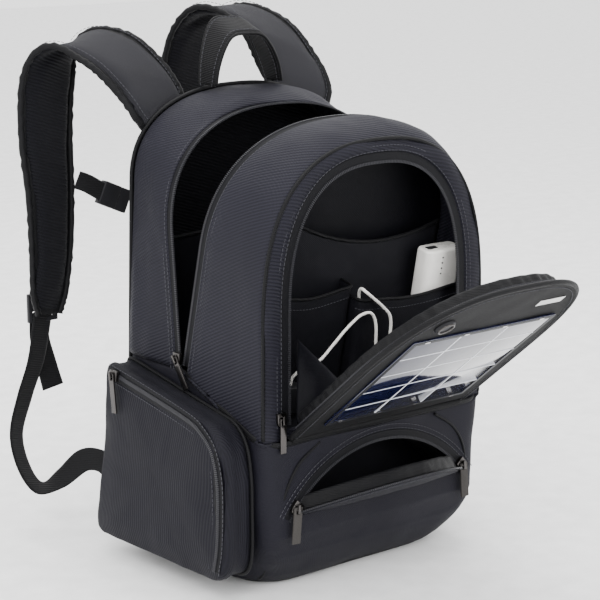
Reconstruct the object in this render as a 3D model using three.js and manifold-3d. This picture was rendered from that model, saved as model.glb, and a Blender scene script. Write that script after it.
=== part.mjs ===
// A solar backpack: padded back, main compartment that opens round an arch zip, front section with an
// organiser behind a drop-down flap that carries the solar panel, a lower pocket, two side pockets and harness.
// Millimetres. X is to the right seen from the front, Y points to the wearer's back, Z is up.
// The origin is the middle of the base. The bag is drawn with the main zip, the flap and the pocket open.
import * as THREE from "three";
import { mergeVertices } from "three/addons/utils/BufferGeometryUtils.js";
import Module from "manifold-3d";

const wasm = await Module();
wasm.setup();

// ---------------------------------------------------------------- driving dimensions
const HALF = 148; // half the body's width at the seam
const BACK_HALF = 136; // half the back panel's width at the shoulders
const BACK_Y = 104; // inner face of the back panel
const BACK_TOP = 487; // top of the back panel
const ZIP_Y = 8; // rear edge of the main zip
const ZIP_TOP = 474; // top of the main zip
const SHOULDER = 125; // height of the arch's rounded part
const WALL = 4; // padded cloth
const GAP = 0.4; // clearance between separate pieces
const SEAM_Z = 214; // where the main zip ends on each flank
const REAR_LEAN = 5; // degrees that the main zip leans back when it is closed
const FRONT_LEAN = 13.7; // degrees that the front section's zip edge leans forward when it is open
const PIVOT = { y: 5, z: 213 }; // the main opening turns about the line between the zip's two ends
const FRONT_TOP = 468; // top of the front section's zip edge
const FRONT_Y = -127; // the front section's front face, upright when the bag is open
const FACE_TOP = 453; // top of the front face
const FOOT_SLOPE = 20.6; // degrees that the front section's foot rises from its front to the zip
const DIVIDER_LEAN = 11; // degrees that the divider and its pockets lean forward
const FLAP_HINGE = { y: -132, z: 165 };
const FLAP_OPEN = 50; // degrees that the flap is open
const FLAP_LENGTH = 270;
const FLAP_HALF = 118;
const OPENING_HALF = 114; // half the width of the front section's opening
const OPENING_TOP = 431;
const MOUTH = { x: 2, z: -1, r: 146, chord: 85 }; // the lower pocket's arched mouth
const LIP_OPEN = 62; // degrees that the pocket's lip has dropped
const LIP_HINGE = { y: -131.5, z: 85.6 };
const POCKET_OUT = 182; // outer face of the side pockets
const POCKET_NEAR = HALF + 3.6; // their inner edge, clear of the flank
const ZIP_WIDTH = 7; // a closed zip's coil
const WEBBING = 25;
const STRAP_THICK = 12;

// ---------------------------------------------------------------- materials
const cloth = (color) => new THREE.MeshStandardMaterial({ color, roughness: 0.85, metalness: 0 });
const shellCloth = cloth(0x2b2b33);
const liningCloth = cloth(0x121216);
const meshCloth = cloth(0x191920);
const webCloth = cloth(0x242428);
const coilNylon = cloth(0x33333a);
const blackPlastic = new THREE.MeshStandardMaterial({ color: 0x1d1d1f, roughness: 0.45, metalness: 0 });
const darkMetal = new THREE.MeshStandardMaterial({ color: 0x3a3836, roughness: 0.35, metalness: 0.9 });
const whitePlastic = new THREE.MeshStandardMaterial({ color: 0xf0ece6, roughness: 0.3, metalness: 0 });
const solarGlass = new THREE.MeshStandardMaterial({ color: 0x0d1024, roughness: 0.12, metalness: 0.1 });

// ---------------------------------------------------------------- solids
const rad = THREE.MathUtils.degToRad;
const v3 = (x, y, z) => new THREE.Vector3(x, y, z);

// A closed geometry as a manifold-3d solid, for cutting and joining.
function solid(geometry) {
  const bare = (geometry.index ? geometry.toNonIndexed() : geometry.clone()).deleteAttribute("normal");
  bare.deleteAttribute("uv");
  const merged = mergeVertices(bare, 1e-4);
  const vertProperties = merged.attributes.position.array;
  return new wasm.Manifold(new wasm.Mesh({ numProp: 3, vertProperties, triVerts: new Uint32Array(merged.index.array) }));
}

// The geometry of a manifold-3d solid.
function geometryOf(made) {
  const { vertProperties, triVerts } = made.getMesh();
  const geometry = new THREE.BufferGeometry().setAttribute("position", new THREE.BufferAttribute(vertProperties, 3));
  geometry.setIndex(new THREE.BufferAttribute(triVerts, 1));
  return geometry;
}

const cut = (geometry, ...tools) => geometryOf(tools.reduce((s, t) => s.subtract(solid(t)), solid(geometry)));
const join = (geometry, ...others) => geometryOf(others.reduce((s, t) => s.add(solid(t)), solid(geometry)));

// A closed solid through rings of the same number of points, each ring star-shaped about its middle.
function loft(rings) {
  const count = rings[0].length;
  const points = rings.flat();
  const faces = [];
  for (let r = 0; r + 1 < rings.length; r++)
    for (let i = 0; i < count; i++) {
      const a = r * count + i;
      const b = r * count + ((i + 1) % count);
      faces.push(a, b, b + count, a, b + count, a + count);
    }
  for (const [first, flip] of [[0, true], [(rings.length - 1) * count, false]]) {
    const middle = rings[first / count].reduce((m, p) => m.add(p), v3(0, 0, 0)).divideScalar(count);
    points.push(middle);
    for (let i = 0; i < count; i++) {
      const pair = [first + i, first + ((i + 1) % count)];
      faces.push(...(flip ? pair.reverse() : pair), points.length - 1);
    }
  }
  const geometry = new THREE.BufferGeometry().setFromPoints(points);
  geometry.setIndex(faces);
  const made = new wasm.Mesh({
    numProp: 3,
    vertProperties: geometry.attributes.position.array,
    triVerts: new Uint32Array(faces),
  });
  if (new wasm.Manifold(made).volume() > 0) return geometry;
  for (let i = 0; i < faces.length; i += 3) [faces[i], faces[i + 1]] = [faces[i + 1], faces[i]];
  geometry.setIndex(faces);
  return geometry;
}

// A box given by its lowest and highest corners.
function block([x0, y0, z0], [x1, y1, z1]) {
  return new THREE.BoxGeometry(x1 - x0, y1 - y0, z1 - z0).translate((x0 + x1) / 2, (y0 + y1) / 2, (z0 + z1) / 2);
}

// An outline drawn in X and Z, extruded from y0 to y1; curves keep few points.
function prismY(shape, y0, y1, curveSegments = 10) {
  const made = new THREE.ExtrudeGeometry(shape, { depth: y1 - y0, bevelEnabled: false, curveSegments });
  return made.rotateX(Math.PI / 2).translate(0, y1, 0);
}

// An outline drawn in Y and Z, extruded from x0 to x1.
function prismX(shape, x0, x1, curveSegments = 10) {
  const made = new THREE.ExtrudeGeometry(shape, { depth: x1 - x0, bevelEnabled: false, curveSegments });
  return made.rotateZ(Math.PI / 2).rotateY(Math.PI / 2).translate(x0, 0, 0);
}

// The points of an upright arch: straight sides from half width `low` to `high`, then a rounded top.
function archPoints(low, high, z0, top, shoulder, power = 0.85, steps = 18) {
  const points = [[low, z0], [high, top - shoulder]];
  for (let i = 1; i < steps; i++) {
    const t = (Math.PI * i) / steps;
    const flat = (value) => Math.sign(value) * Math.abs(value) ** power;
    points.push([high * flat(Math.cos(t)), top - shoulder + shoulder * flat(Math.sin(t))]);
  }
  points.push([-high, top - shoulder], [-low, z0]);
  return points;
}

const archShape = (...numbers) => new THREE.Shape(archPoints(...numbers).map(([x, z]) => new THREE.Vector2(x, z)));

// An arch ring that passes through y at the pivot's height and leans forward by `lean` degrees.
function archRing(y, lean, ...numbers) {
  const slope = Math.tan(rad(lean));
  return archPoints(...numbers).map(([x, z]) => v3(x, y - (z - PIVOT.z) * slope, z));
}

// A rounded rectangle at height z.
function plateRing(z, half, y0, y1, r, steps = 4) {
  const ring = [];
  const corners = [[half - r, y1 - r, 0], [-half + r, y1 - r, 90], [-half + r, y0 + r, 180], [half - r, y0 + r, 270]];
  for (const [x, y, start] of corners)
    for (let i = 0; i <= steps; i++) {
      const t = rad(start + (90 * i) / steps);
      ring.push(v3(x + r * Math.cos(t), y + r * Math.sin(t), z));
    }
  return ring;
}

// A flat band that follows a smooth line: each stop gives the middle, the direction across, and the width.
function band(stops, thick, steps, bevel = 0.3) {
  const line = new THREE.CatmullRomCurve3(stops.map((s) => s.at), false, "centripetal");
  const across = new THREE.CatmullRomCurve3(stops.map((s) => s.across.clone().normalize()), false, "centripetal");
  const rings = [];
  for (let i = 0; i <= steps; i++) {
    const t = i / steps;
    const middle = line.getPoint(t);
    const along = line.getTangent(t);
    const side = across.getPoint(t);
    side.addScaledVector(along, -side.dot(along)).normalize();
    const face = new THREE.Vector3().crossVectors(along, side);
    const k = t * (stops.length - 1);
    const low = Math.min(Math.floor(k), stops.length - 2);
    const half = THREE.MathUtils.lerp(stops[low].width, stops[low + 1].width, k - low) / 2;
    const corner = [[1, 1 - bevel], [1 - (bevel * thick) / half / 2, 1], [-1 + (bevel * thick) / half / 2, 1], [-1, 1 - bevel]];
    const section = [...corner, ...corner.map(([a, b]) => [-a, -b])];
    rings.push(section.map(([a, b]) => middle.clone().addScaledVector(side, a * half).addScaledVector(face, (b * thick) / 2)));
  }
  return loft(rings);
}

const stop = (at, across, width) => ({ at: v3(...at), across: v3(...across), width });

function mesh(name, geometry, material) {
  const made = new THREE.Mesh(geometry, material);
  made.name = name;
  return made;
}

// A group that turns its pieces about the X axis through (y, z); the pieces are drawn as if it had not turned.
function turned(y, z, degrees, ...pieces) {
  const outer = new THREE.Group();
  const inner = new THREE.Group();
  outer.position.set(0, y, z);
  outer.rotation.x = rad(degrees);
  inner.position.set(0, -y, -z);
  inner.add(...pieces);
  outer.add(inner);
  return outer;
}

// Everything under a plane that falls towards the front by `slope` degrees from (y, z).
function under(y, z, slope) {
  const big = 400;
  return block([-big, -big, -big], [big, big, 0]).rotateX(rad(slope)).translate(0, y, z);
}

// ---------------------------------------------------------------- back and main compartment
const backPanel = mesh(
  "back_panel",
  prismY(archShape(HALF - 4, BACK_HALF, 8, BACK_TOP, 90), BACK_Y, BACK_Y + WALL * 3),
  meshCloth,
);

function backPad(name, side) {
  const x = side * 64;
  const pad = new THREE.Shape();
  pad.moveTo(x - 48, 60);
  pad.lineTo(x + 48, 60);
  pad.lineTo(x + 44, 380);
  pad.quadraticCurveTo(x + 40, 412, x, 414);
  pad.quadraticCurveTo(x - 40, 412, x - 44, 380);
  return mesh(name, prismY(pad, BACK_Y + WALL * 3 + GAP, BACK_Y + WALL * 3 + 10, 6), meshCloth);
}

// The rear gusset: an arch band from the back panel to the main zip, above the seam.
function rearShell() {
  const outer = loft([
    archRing(BACK_Y - GAP, 0, HALF - 1, BACK_HALF, 120, BACK_TOP - 1, 95),
    archRing(56, -2, HALF + 3, HALF - 4, 120, BACK_TOP - 3, 110),
    archRing(ZIP_Y, -REAR_LEAN, HALF, HALF, 120, ZIP_TOP, SHOULDER),
  ]);
  const inner = loft([
    archRing(BACK_Y + 1, 0, HALF - 1 - WALL, BACK_HALF - WALL, 100, BACK_TOP - 1 - WALL, 95),
    archRing(56, -2, HALF + 3 - WALL, HALF - 4 - WALL, 100, BACK_TOP - 3 - WALL, 110),
    archRing(ZIP_Y - 1, -REAR_LEAN, HALF - WALL, HALF - WALL, 100, ZIP_TOP - WALL, SHOULDER),
  ]);
  return cut(outer, inner, block([-300, -300, 0], [300, 300, SEAM_Z]));
}

// One tape of the main zip with its coil: a thin arch along a gusset's edge.
function mainZip(name, y, lean, top) {
  const outer = [y, y + 2].map((at) => archRing(at, lean, HALF + 1, HALF + 1, SEAM_Z + 6, top + 1, SHOULDER));
  const inner = [y - 1, y + 3].map((at) => archRing(at, lean, HALF - 3, HALF - 3, 0, top - 3, SHOULDER - 3));
  return mesh(name, cut(loft(outer), loft(inner)), coilNylon);
}

// The lower body: a tub that carries everything, with the lower pocket's mouth in its front.
function lowerShell() {
  const levels = [[4.4, 138, -100], [40, 146, -119], [90, 148, -130], [150, 148, -131], [SEAM_Z - GAP, 148, -131]];
  const outer = loft(levels.map(([z, half, front]) => plateRing(z, half, front, BACK_Y - GAP, 24)));
  const hollow = levels.map(([z, half, front], i) =>
    plateRing(i ? z + (i === 4) : z + WALL, half - WALL, front + WALL, BACK_Y - GAP - WALL, 20),
  );
  const aboveFoot = block([-300, -300, 0], [300, 0, 300]).rotateX(rad(FOOT_SLOPE)).translate(0, PIVOT.y, PIVOT.z - 1);
  return cut(outer, loft(hollow), aboveFoot, prismY(mouthShape(0), -160, -110, 12));
}

// The lower pocket's mouth: a circle's segment above a chord, drawn smaller by `inset`.
function mouthShape(inset) {
  const { x, z, r, chord } = MOUTH;
  const radius = r - inset;
  const start = Math.asin((chord + inset / 2 - z) / radius);
  const shape = new THREE.Shape();
  shape.absarc(x, z, radius, start, Math.PI - start, false);
  return shape;
}

// The lower pocket's own bag, behind the mouth: a cup that opens forwards.
function pocketLining() {
  const low = block([-124, -105, 30], [124, -84, 80]);
  const high = block([-124, -122.6, 78], [124, -84, 138]);
  const space = [block([-121, -102, 33], [121, -87, 90]), block([-121, -124, 81], [121, -87, 135])];
  return cut(join(low, high), ...space);
}

// The coil round the lower pocket's mouth.
function pocketZip() {
  const { x, z, r } = MOUTH;
  const start = rad(37.5);
  const shape = new THREE.Shape();
  shape.absarc(x, z, r + 4.5, start, Math.PI - start, false);
  shape.absarc(x, z, r + 0.5, Math.PI - start, start, true);
  return prismY(shape, -133.4, -131.4, 20);
}

// The zipped pocket on the left flank: a cup that lies open-side against the bag.
function sidePocket() {
  const outline = (inset) => {
    const s = new THREE.Shape();
    s.moveTo(100 - inset, 24 + inset);
    s.lineTo(97 - inset, 212 - inset);
    s.lineTo(-62, 186 - inset);
    s.quadraticCurveTo(-116 + inset, 177 - inset, -118 + inset, 114);
    s.lineTo(-118 + inset, 52 + inset);
    s.quadraticCurveTo(-117 + inset, 25 + inset, -88, 24 + inset);
    return s;
  };
  return cut(prismX(outline(0), -POCKET_OUT, -POCKET_NEAR), prismX(outline(3), 3 - POCKET_OUT, 1 - POCKET_NEAR));
}

// The open mesh pocket for a bottle on the right flank, with its elastic hem.
function bottlePocket() {
  const rings = (inset, zs) => zs.map((z) =>
    plateRing(z, (POCKET_OUT - POCKET_NEAR) / 2 + (inset ? 20 : 0), -74 + inset, 74 - inset, 14 - inset).map((p) =>
      p.add(v3((POCKET_OUT + POCKET_NEAR) / 2 - (inset ? 20 + inset : 0), 0, 0)),
    ),
  );
  return cut(loft(rings(0, [26, 168])), loft(rings(2, [28, 190])));
}

// The side pocket's zip: it runs along the top edge, round the front corner and down the front.
function sideZip() {
  const x = -POCKET_OUT - 1.2;
  const across = [0, 0.3, 1];
  const stops = [
    stop([x, 84, 203], across, ZIP_WIDTH),
    stop([x, -20, 186], across, ZIP_WIDTH),
    stop([x, -68, 176], across, ZIP_WIDTH),
    stop([x, -98, 154], [0, -1, 1], ZIP_WIDTH),
    stop([x, -109, 122], [0, -1, 0], ZIP_WIDTH),
    stop([x, -110, 60], [0, -1, 0], ZIP_WIDTH),
    stop([x, -104, 36], [0, -1, -0.4], ZIP_WIDTH),
  ];
  return band(stops, 1.6, 24);
}

// ---------------------------------------------------------------- front section, drawn open
// The section's outer form, or with `inset` the space inside its cloth; `over` lets the space reach past the edge.
function frontForm(inset, over) {
  return loft([
    archRing(PIVOT.y - 2 + over, FRONT_LEAN, HALF - inset, HALF - inset, 110, FRONT_TOP - inset, SHOULDER),
    archRing(-62, 7.5, HALF + 1 - inset, HALF - 1 - inset, 110, FRONT_TOP - 1 - inset, 135),
    archRing(FRONT_Y + inset, 0, HALF - 1 - inset, HALF - 2 - inset, 110, FACE_TOP - inset, 180 - inset, 0.78),
  ]);
}
const footPlane = (rise) => under(PIVOT.y, PIVOT.z + rise, FOOT_SLOPE);
const DIVIDER_Y = -41;

function frontShell() {
  const behindDivider = block([-300, DIVIDER_Y, 0], [300, 300, 600]);
  const floor = solid(footPlane(WALL + 0.6)).subtract(solid(behindDivider));
  const space = geometryOf(solid(frontForm(WALL, 3)).subtract(floor));
  const arch = archShape(OPENING_HALF, OPENING_HALF, FLAP_HINGE.z + 11, OPENING_TOP, 150, 0.8);
  return cut(frontForm(0, 0), footPlane(0.6), space, prismY(arch, -200, -100));
}

function dividerPanel() {
  const plate = prismY(archShape(HALF - 8, HALF - 8, 120, ZIP_TOP - 3, SHOULDER), DIVIDER_Y - 3, DIVIDER_Y);
  return cut(plate, under(PIVOT.y, PIVOT.z + WALL + 2, FOOT_SLOPE - DIVIDER_LEAN));
}

// The large pocket for a tablet: a cloth panel in front of the divider, its top edge dipping in the middle.
function tabletPocket() {
  const s = new THREE.Shape();
  s.moveTo(-122, 214);
  s.lineTo(122, 214);
  s.lineTo(120, 369);
  s.quadraticCurveTo(30, 330, -120, 392);
  return prismY(s, DIVIDER_Y - 18, DIVIDER_Y - 15, 8);
}

// Two open pouches for a phone and for the battery and its lead.
function pouch(x0, x1, y0, y1, z0, z1) {
  return cut(block([x0, y0, z0], [x1, y1, z1]), block([x0 + 2.5, y0 + 2.5, z0 + 2.5], [x1 - 2.5, y1 - 2.5, z1 + 5]));
}
const POUCH_BACK = DIVIDER_Y - 18.4;

// A slim battery with four indicator dots and a button on its top.
const BANK = { x: 110, y: -78, z0: 213, w: 50, d: 22, h: 132 };
function bankCase() {
  const { x, y, z0, w, d, h } = BANK;
  const body = loft([z0, z0 + 2, z0 + h - 2, z0 + h].map((z, i) => {
    const inset = i === 0 || i === 3 ? 1.5 : 0;
    return plateRing(z, w / 2 - inset, -d / 2 + inset, d / 2 - inset, 7 - inset).map((p) => p.add(v3(x, y, 0)));
  }));
  const well = new THREE.CylinderGeometry(3.6, 3.6, 2.4, 16).rotateX(Math.PI / 2).translate(x - 14, y, z0 + h);
  return cut(body, well);
}
// The small box that turns the panel's output into a charging socket, low at the left of the compartment.
const regulator = block([-104, -108, 202], [-80, -92, 231.6]);

// ---------------------------------------------------------------- the charging lead
const LEAD_RADIUS = 1.6;
const leadPoints = [
  [-92, -101, 232], [-91, -102, 241], [-84, -106, 250], [-73, -109, 255], [-63, -109.6, 259], [-47, -107.5, 272],
  [-33, -105, 282.5], [-21, -103.5, 290.5], [-11, -102.5, 295.5], [1, -102.2, 296], [7.5, -103.2, 289],
  [10, -105, 278], [12, -106, 260], [18, -106, 247], [27, -105.5, 250], [31, -104.5, 268], [28.5, -103.7, 288],
  [18, -101.5, 300], [5.6, -99.8, 310], [-3, -97, 317], [-5, -91, 319], [-2, -85, 312], [4, -81, 298],
  [8, -79.5, 280], [9, -79, 252],
].map((p) => v3(...p));

function leadTube() {
  const path = new THREE.CatmullRomCurve3(leadPoints, false, "centripetal");
  const ring = new THREE.Shape();
  ring.absarc(0, 0, LEAD_RADIUS, 0, Math.PI * 2);
  return new THREE.ExtrudeGeometry(ring, { extrudePath: path, steps: 76, curveSegments: 4, bevelEnabled: false });
}
const leadPlug = block([3, -83, 215], [15, -75, 251.6]);

// ---------------------------------------------------------------- solar flap, drawn closed
const flapTop = FLAP_HINGE.z + FLAP_LENGTH;
const flapPlate = prismY(
  archShape(FLAP_HALF - 2, FLAP_HALF, FLAP_HINGE.z + 2, flapTop, 152, 0.8),
  FRONT_Y - 5.4,
  FRONT_Y - 0.6,
);

// The zip tape that stands behind the flap's rim.
function flapRim() {
  const half = OPENING_HALF - 4;
  const [y0, y1] = [FRONT_Y - 0.2, FRONT_Y + 14];
  const outer = prismY(archShape(half, half, FLAP_HINGE.z + 18, OPENING_TOP - 4, 146, 0.8), y0, y1);
  const inner = prismY(archShape(half - 2.5, half - 2.5, 0, OPENING_TOP - 6.5, 143.5, 0.8), y0 - 1, y1 + 1);
  return cut(outer, inner);
}

const PANEL = { half: 93, low: 30, high: 198, thick: 2.6 };
const panelPlate = block(
  [-PANEL.half, FRONT_Y - 5.8 - PANEL.thick, FLAP_HINGE.z + PANEL.low],
  [PANEL.half, FRONT_Y - 5.8, FLAP_HINGE.z + PANEL.high],
);
const cablePort = new THREE.CylinderGeometry(10, 11, 3, 24).rotateX(Math.PI).translate(-72, -FRONT_Y, 0);
cablePort.translate(0, FRONT_Y, 0).translate(0, FRONT_Y - 7.4, FLAP_HINGE.z + 222);

// The side gusset that stops the flap: a cloth triangle between the body and the flap.
function flapGusset(side) {
  const open = rad(FLAP_OPEN - 3);
  const s = new THREE.Shape();
  s.moveTo(-2, 13);
  s.lineTo(-2, 92);
  s.lineTo(-2 - 90 * Math.sin(open), 13 + 88 * Math.cos(open));
  const x = side * 98;
  return prismX(s, x - 0.8, x + 0.8).translate(0, FLAP_HINGE.y, FLAP_HINGE.z);
}

// ---------------------------------------------------------------- lower pocket's lip, drawn closed
// Its lower corners are cut back, so that the zip pulls pass beside its root.
const lipCorners = [
  block([MOUTH.x - 140, LIP_HINGE.y - 1, 80], [MOUTH.x - 84, LIP_HINGE.y + 5, 100]),
  block([MOUTH.x + 84, LIP_HINGE.y - 1, 80], [MOUTH.x + 140, LIP_HINGE.y + 5, 100]),
];
const lip = cut(prismY(mouthShape(4), LIP_HINGE.y + 0.8, LIP_HINGE.y + 3.8, 12), ...lipCorners);

// ---------------------------------------------------------------- zip sliders and their tabs
// A slider is a small saddle whose bridge holds the tab's ring. It is drawn at the origin with the
// cloth behind it in -Z and the zip along Y; the tab hangs along -Y.
const SLIDER = { w: 11, l: 13, h: 4 };
function sliderBody() {
  const { w, l, h } = SLIDER;
  const plan = new THREE.Shape();
  plan.moveTo(-w / 2, l / 2);
  plan.quadraticCurveTo(-w / 2, -l / 2, -w / 4, -l / 2);
  plan.lineTo(w / 4, -l / 2);
  plan.quadraticCurveTo(w / 2, -l / 2, w / 2, l / 2);
  return new THREE.ExtrudeGeometry(plan, { depth: h, bevelEnabled: false, curveSegments: 4 });
}
function sliderBridge() {
  const { h } = SLIDER;
  return cut(block([-1.6, -4.5, h - 0.5], [1.6, 4.5, h + 4]), block([-3, -2.8, h - 0.6], [3, 2.8, h + 2.6]));
}
function tabGeometry(length, width, thick = 1.6) {
  const ring = cut(block([-width / 2, -8, 0], [width / 2, 1.6, thick]), block([-2.4, -5.4, -1], [2.4, 0, thick + 1]));
  return join(ring, block([-width / 2, -length, 0], [width / 2, -7, thick]));
}

// Puts a slider and its tab in place. `face` is the cloth's outward normal and `along` the zip's direction;
// `hang` is the direction in which the tab lies.
function sliderPair(name, at, face, along, hang, tabLength, tabWidth, tabMaterial) {
  const frame = (down) => {
    const z = v3(...face).normalize();
    const y = v3(...down).negate();
    y.addScaledVector(z, -y.dot(z)).normalize();
    return new THREE.Matrix4().makeBasis(new THREE.Vector3().crossVectors(y, z), y, z);
  };
  const place = v3(...at);
  const pin = place.clone().addScaledVector(v3(...face).normalize(), SLIDER.h + 0.5);
  const body = join(sliderBody().applyMatrix4(frame(along)), sliderBridge().applyMatrix4(frame(hang)));
  const tab = tabGeometry(tabLength, tabWidth).applyMatrix4(frame(hang)).translate(...pin);
  return [mesh(name + "_slider", body.translate(...place), darkMetal), mesh(name + "_tab", tab, tabMaterial)];
}

// ---------------------------------------------------------------- harness
// The left strap flares outwards and hangs beside the back; the right one falls towards the middle.
const leftStrap = [
  stop([-90, 121, 476], [1, 0.3, 0.2], 76), stop([-101, 138, 505], [1, 0.35, 0.2], 80),
  stop([-117, 162, 528], [0.9, 0.45, 0.2], 82), stop([-138, 187, 535], [0.8, 0.55, 0.1], 82),
  stop([-157, 205, 520], [0.9, 0.45, -0.1], 80), stop([-168, 213, 486], [1, 0.25, -0.15], 76),
  stop([-172, 214, 432], [1, 0.15, -0.1], 70), stop([-171, 212, 372], [1, 0.13, 0], 64),
  stop([-173, 210, 312], [1, 0.12, 0.05], 58), stop([-178, 208, 264], [1, 0.12, 0.08], 50),
  stop([-180, 207, 240], [1, 0.12, 0.08], 34),
];
const rightStrap = [
  stop([96, 123, 474], [1, 0, 0], 78), stop([93, 142, 506], [1, 0.05, 0], 82),
  stop([83, 164, 537], [1, 0.2, 0], 82), stop([69, 192, 555], [0.95, 0.42, 0], 80),
  stop([54, 217, 551], [0.95, 0.4, -0.1], 78), stop([44, 233, 520], [0.97, 0.25, -0.2], 76),
  stop([39, 241, 473], [1, 0.1, -0.12], 74), stop([36, 244, 415], [1, 0.04, 0], 70),
  stop([32, 244, 350], [1, 0, 0], 62), stop([29, 242, 290], [1, 0, 0], 54), stop([29, 240, 262], [1, 0, 0], 34),
];
const STRAP_STEPS = 30;

// Webbing from the anchor at the bag's foot up to the ladder lock, with the tail that hangs from the lock.
const leftWebbing = [
  stop([-154, 119, 74], [0, 0.5, 1], WEBBING), stop([-162, 136, 86], [-0.2, 0.7, 1], WEBBING),
  stop([-172, 158, 84], [-0.2, 0.9, 1], WEBBING), stop([-188, 178, 62], [0.3, 1, 0.8], WEBBING),
  stop([-206, 194, 50], [1, 1, 0.3], WEBBING), stop([-218, 206, 72], [1, 0.7, 0.2], WEBBING),
  stop([-222, 214, 110], [1, 0.5, 0], WEBBING), stop([-206, 220, 150], [1, 0.3, 0.3], WEBBING),
  stop([-190, 222, 190], [1, 0.2, 0.1], WEBBING), stop([-184, 221, 226], [1, 0.1, 0.1], WEBBING),
];
const leftTail = [
  stop([-183, 231.5, 232], [1, 0.1, 0], WEBBING), stop([-178, 233, 208], [1, 0.1, -0.1], WEBBING),
  stop([-170, 233, 178], [1, 0, -0.2], WEBBING), stop([-164, 230, 150], [1, -0.2, -0.3], WEBBING),
];
const rightWebbing = [
  stop([154, 119, 74], [0, 0.5, 1], WEBBING), stop([152, 138, 66], [0.2, 0.7, 1], WEBBING),
  stop([142, 164, 52], [0.6, 1, 0.6], WEBBING), stop([118, 192, 56], [0.9, 0.8, 0.4], WEBBING),
  stop([90, 216, 84], [1, 0.4, 0.5], WEBBING), stop([62, 236, 130], [1, 0.2, 0.5], WEBBING),
  stop([40, 250, 186], [1, 0, 0.3], WEBBING), stop([30, 254, 240], [1, -0.1, 0.1], WEBBING),
];
const rightTail = [
  stop([29, 263, 248], [1, -0.1, 0], WEBBING), stop([22, 266, 222], [1, -0.1, 0], WEBBING),
  stop([14, 266, 190], [1, 0, -0.1], WEBBING), stop([10, 262, 160], [1, 0.1, -0.1], WEBBING),
];

// The ladder lock: a frame with a middle bar, lying on the strap's end.
function ladderLock(x, y, z) {
  const frame = block([-18, -2.5, -16], [18, 2.5, 16]);
  const slots = [block([-13.5, -4, -11.5], [13.5, 4, -3]), block([-13.5, -4, 3], [13.5, 4, 11.5])];
  return cut(frame, ...slots).translate(x, y, z);
}

// A cloth tab sewn into the corner between the back panel and the flank; the webbing leaves from it.
function anchor(side) {
  const s = new THREE.Shape();
  s.moveTo(117, 40);
  s.lineTo(117, 108);
  s.lineTo(126, 88);
  s.lineTo(126, 58);
  return prismX(s, side > 0 ? 140 : -146, side > 0 ? 146 : -140);
}

const chestLeft = [
  stop([-131, 202, 380], [0, 0, 1], 20), stop([-124, 199, 376], [0.3, 0, 1], 20), stop([-121, 198, 372], [0.5, 0, 1], 20),
];
const chestRight = [
  stop([-69, 198, 357], [-0.5, 0.1, 1], 20), stop([-61, 202, 372], [-0.8, 0.1, 0.8], 20),
  stop([-48, 212, 390], [-0.7, 0.2, 1], 20), stop([-30, 226, 398], [-0.3, 0.2, 1], 20), stop([-14, 237, 400], [0, 0, 1], 20),
];
const BUCKLE_TURN = -24; // degrees that the buckle dips towards its free end
const buckle = (geometry) => geometry.rotateY(rad(-BUCKLE_TURN)).translate(-104, 198, 364);
function buckleSocket() {
  const shell = block([-13, -5, -13], [9, 5, 13]);
  return buckle(cut(shell, block([-6, -3, -10.5], [12, 3, 10.5])));
}
function buckleClip() {
  const base = block([10, -4, -13], [24, 4, 13]);
  const prong = (z) => block([-4.5, -2.2, z - 2.5], [11, 2.2, z + 2.5]);
  return buckle(join(base, prong(-7.4), prong(7.4), prong(0)));
}

// ---------------------------------------------------------------- handle
const handleLine = [
  stop([-44, 96, 489.5], [0, 1, 0], 30), stop([-48, 96, 508], [0, 1, 0], 32), stop([-40, 96, 538], [0, 1, 0], 36),
  stop([-18, 96, 552], [0, 1, 0], 38), stop([14, 96, 552], [0, 1, 0], 38), stop([36, 96, 538], [0, 1, 0], 36),
  stop([46, 96, 508], [0, 1, 0], 32), stop([44, 96, 489.5], [0, 1, 0], 30),
];

// ---------------------------------------------------------------- the whole bag
const root = new THREE.Group();
root.add(
  backPanel,
  backPad("back_pad_left", -1),
  backPad("back_pad_right", 1),
  mesh("rear_gusset", rearShell(), shellCloth),
  mainZip("main_zip_rear", ZIP_Y - 2.4, -REAR_LEAN, ZIP_TOP),
  mesh("lower_body", lowerShell(), shellCloth),
  mesh("base_panel", loft([plateRing(0, 134, -98, BACK_Y - 4, 22), plateRing(4, 138, -101, BACK_Y - 1, 24)]), shellCloth),
  mesh("laptop_sleeve", block([-128, 58, 12], [128, 61, 344]), liningCloth),
  mesh("side_pocket", sidePocket(), shellCloth),
  mesh("side_pocket_zip", sideZip(), coilNylon),
  mesh("bottle_pocket", bottlePocket(), meshCloth),
  mesh("lower_pocket_lining", pocketLining(), liningCloth),
  mesh("lower_pocket_zip", pocketZip(), coilNylon),
  mesh("top_handle", band(handleLine, 4.5, 24), webCloth),
  mesh("shoulder_strap_left", band(leftStrap, STRAP_THICK, STRAP_STEPS, 0.5), shellCloth),
  mesh("shoulder_strap_right", band(rightStrap, STRAP_THICK, STRAP_STEPS, 0.5), shellCloth),
  mesh("ladder_lock_left", ladderLock(-181, 219.5, 246), blackPlastic),
  mesh("ladder_lock_right", ladderLock(29, 254.5, 262), blackPlastic),
  mesh("strap_webbing_left", band(leftWebbing, 1.8, 40), webCloth),
  mesh("webbing_tail_left", band(leftTail, 1.8, 10), webCloth),
  mesh("strap_webbing_right", band(rightWebbing, 1.8, 36), webCloth),
  mesh("webbing_tail_right", band(rightTail, 1.8, 10), webCloth),
  mesh("webbing_anchor_left", anchor(-1), shellCloth),
  mesh("webbing_anchor_right", anchor(1), shellCloth),
  mesh("chest_webbing_left", band(chestLeft, 1.8, 6), webCloth),
  mesh("chest_webbing_right", band(chestRight, 1.8, 16), webCloth),
  mesh("chest_buckle_socket", buckleSocket(), blackPlastic),
  mesh("chest_buckle_clip", buckleClip(), blackPlastic),
  turned(LIP_HINGE.y, LIP_HINGE.z, LIP_OPEN, mesh("lower_pocket_lip", lip, shellCloth)),
);

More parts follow.
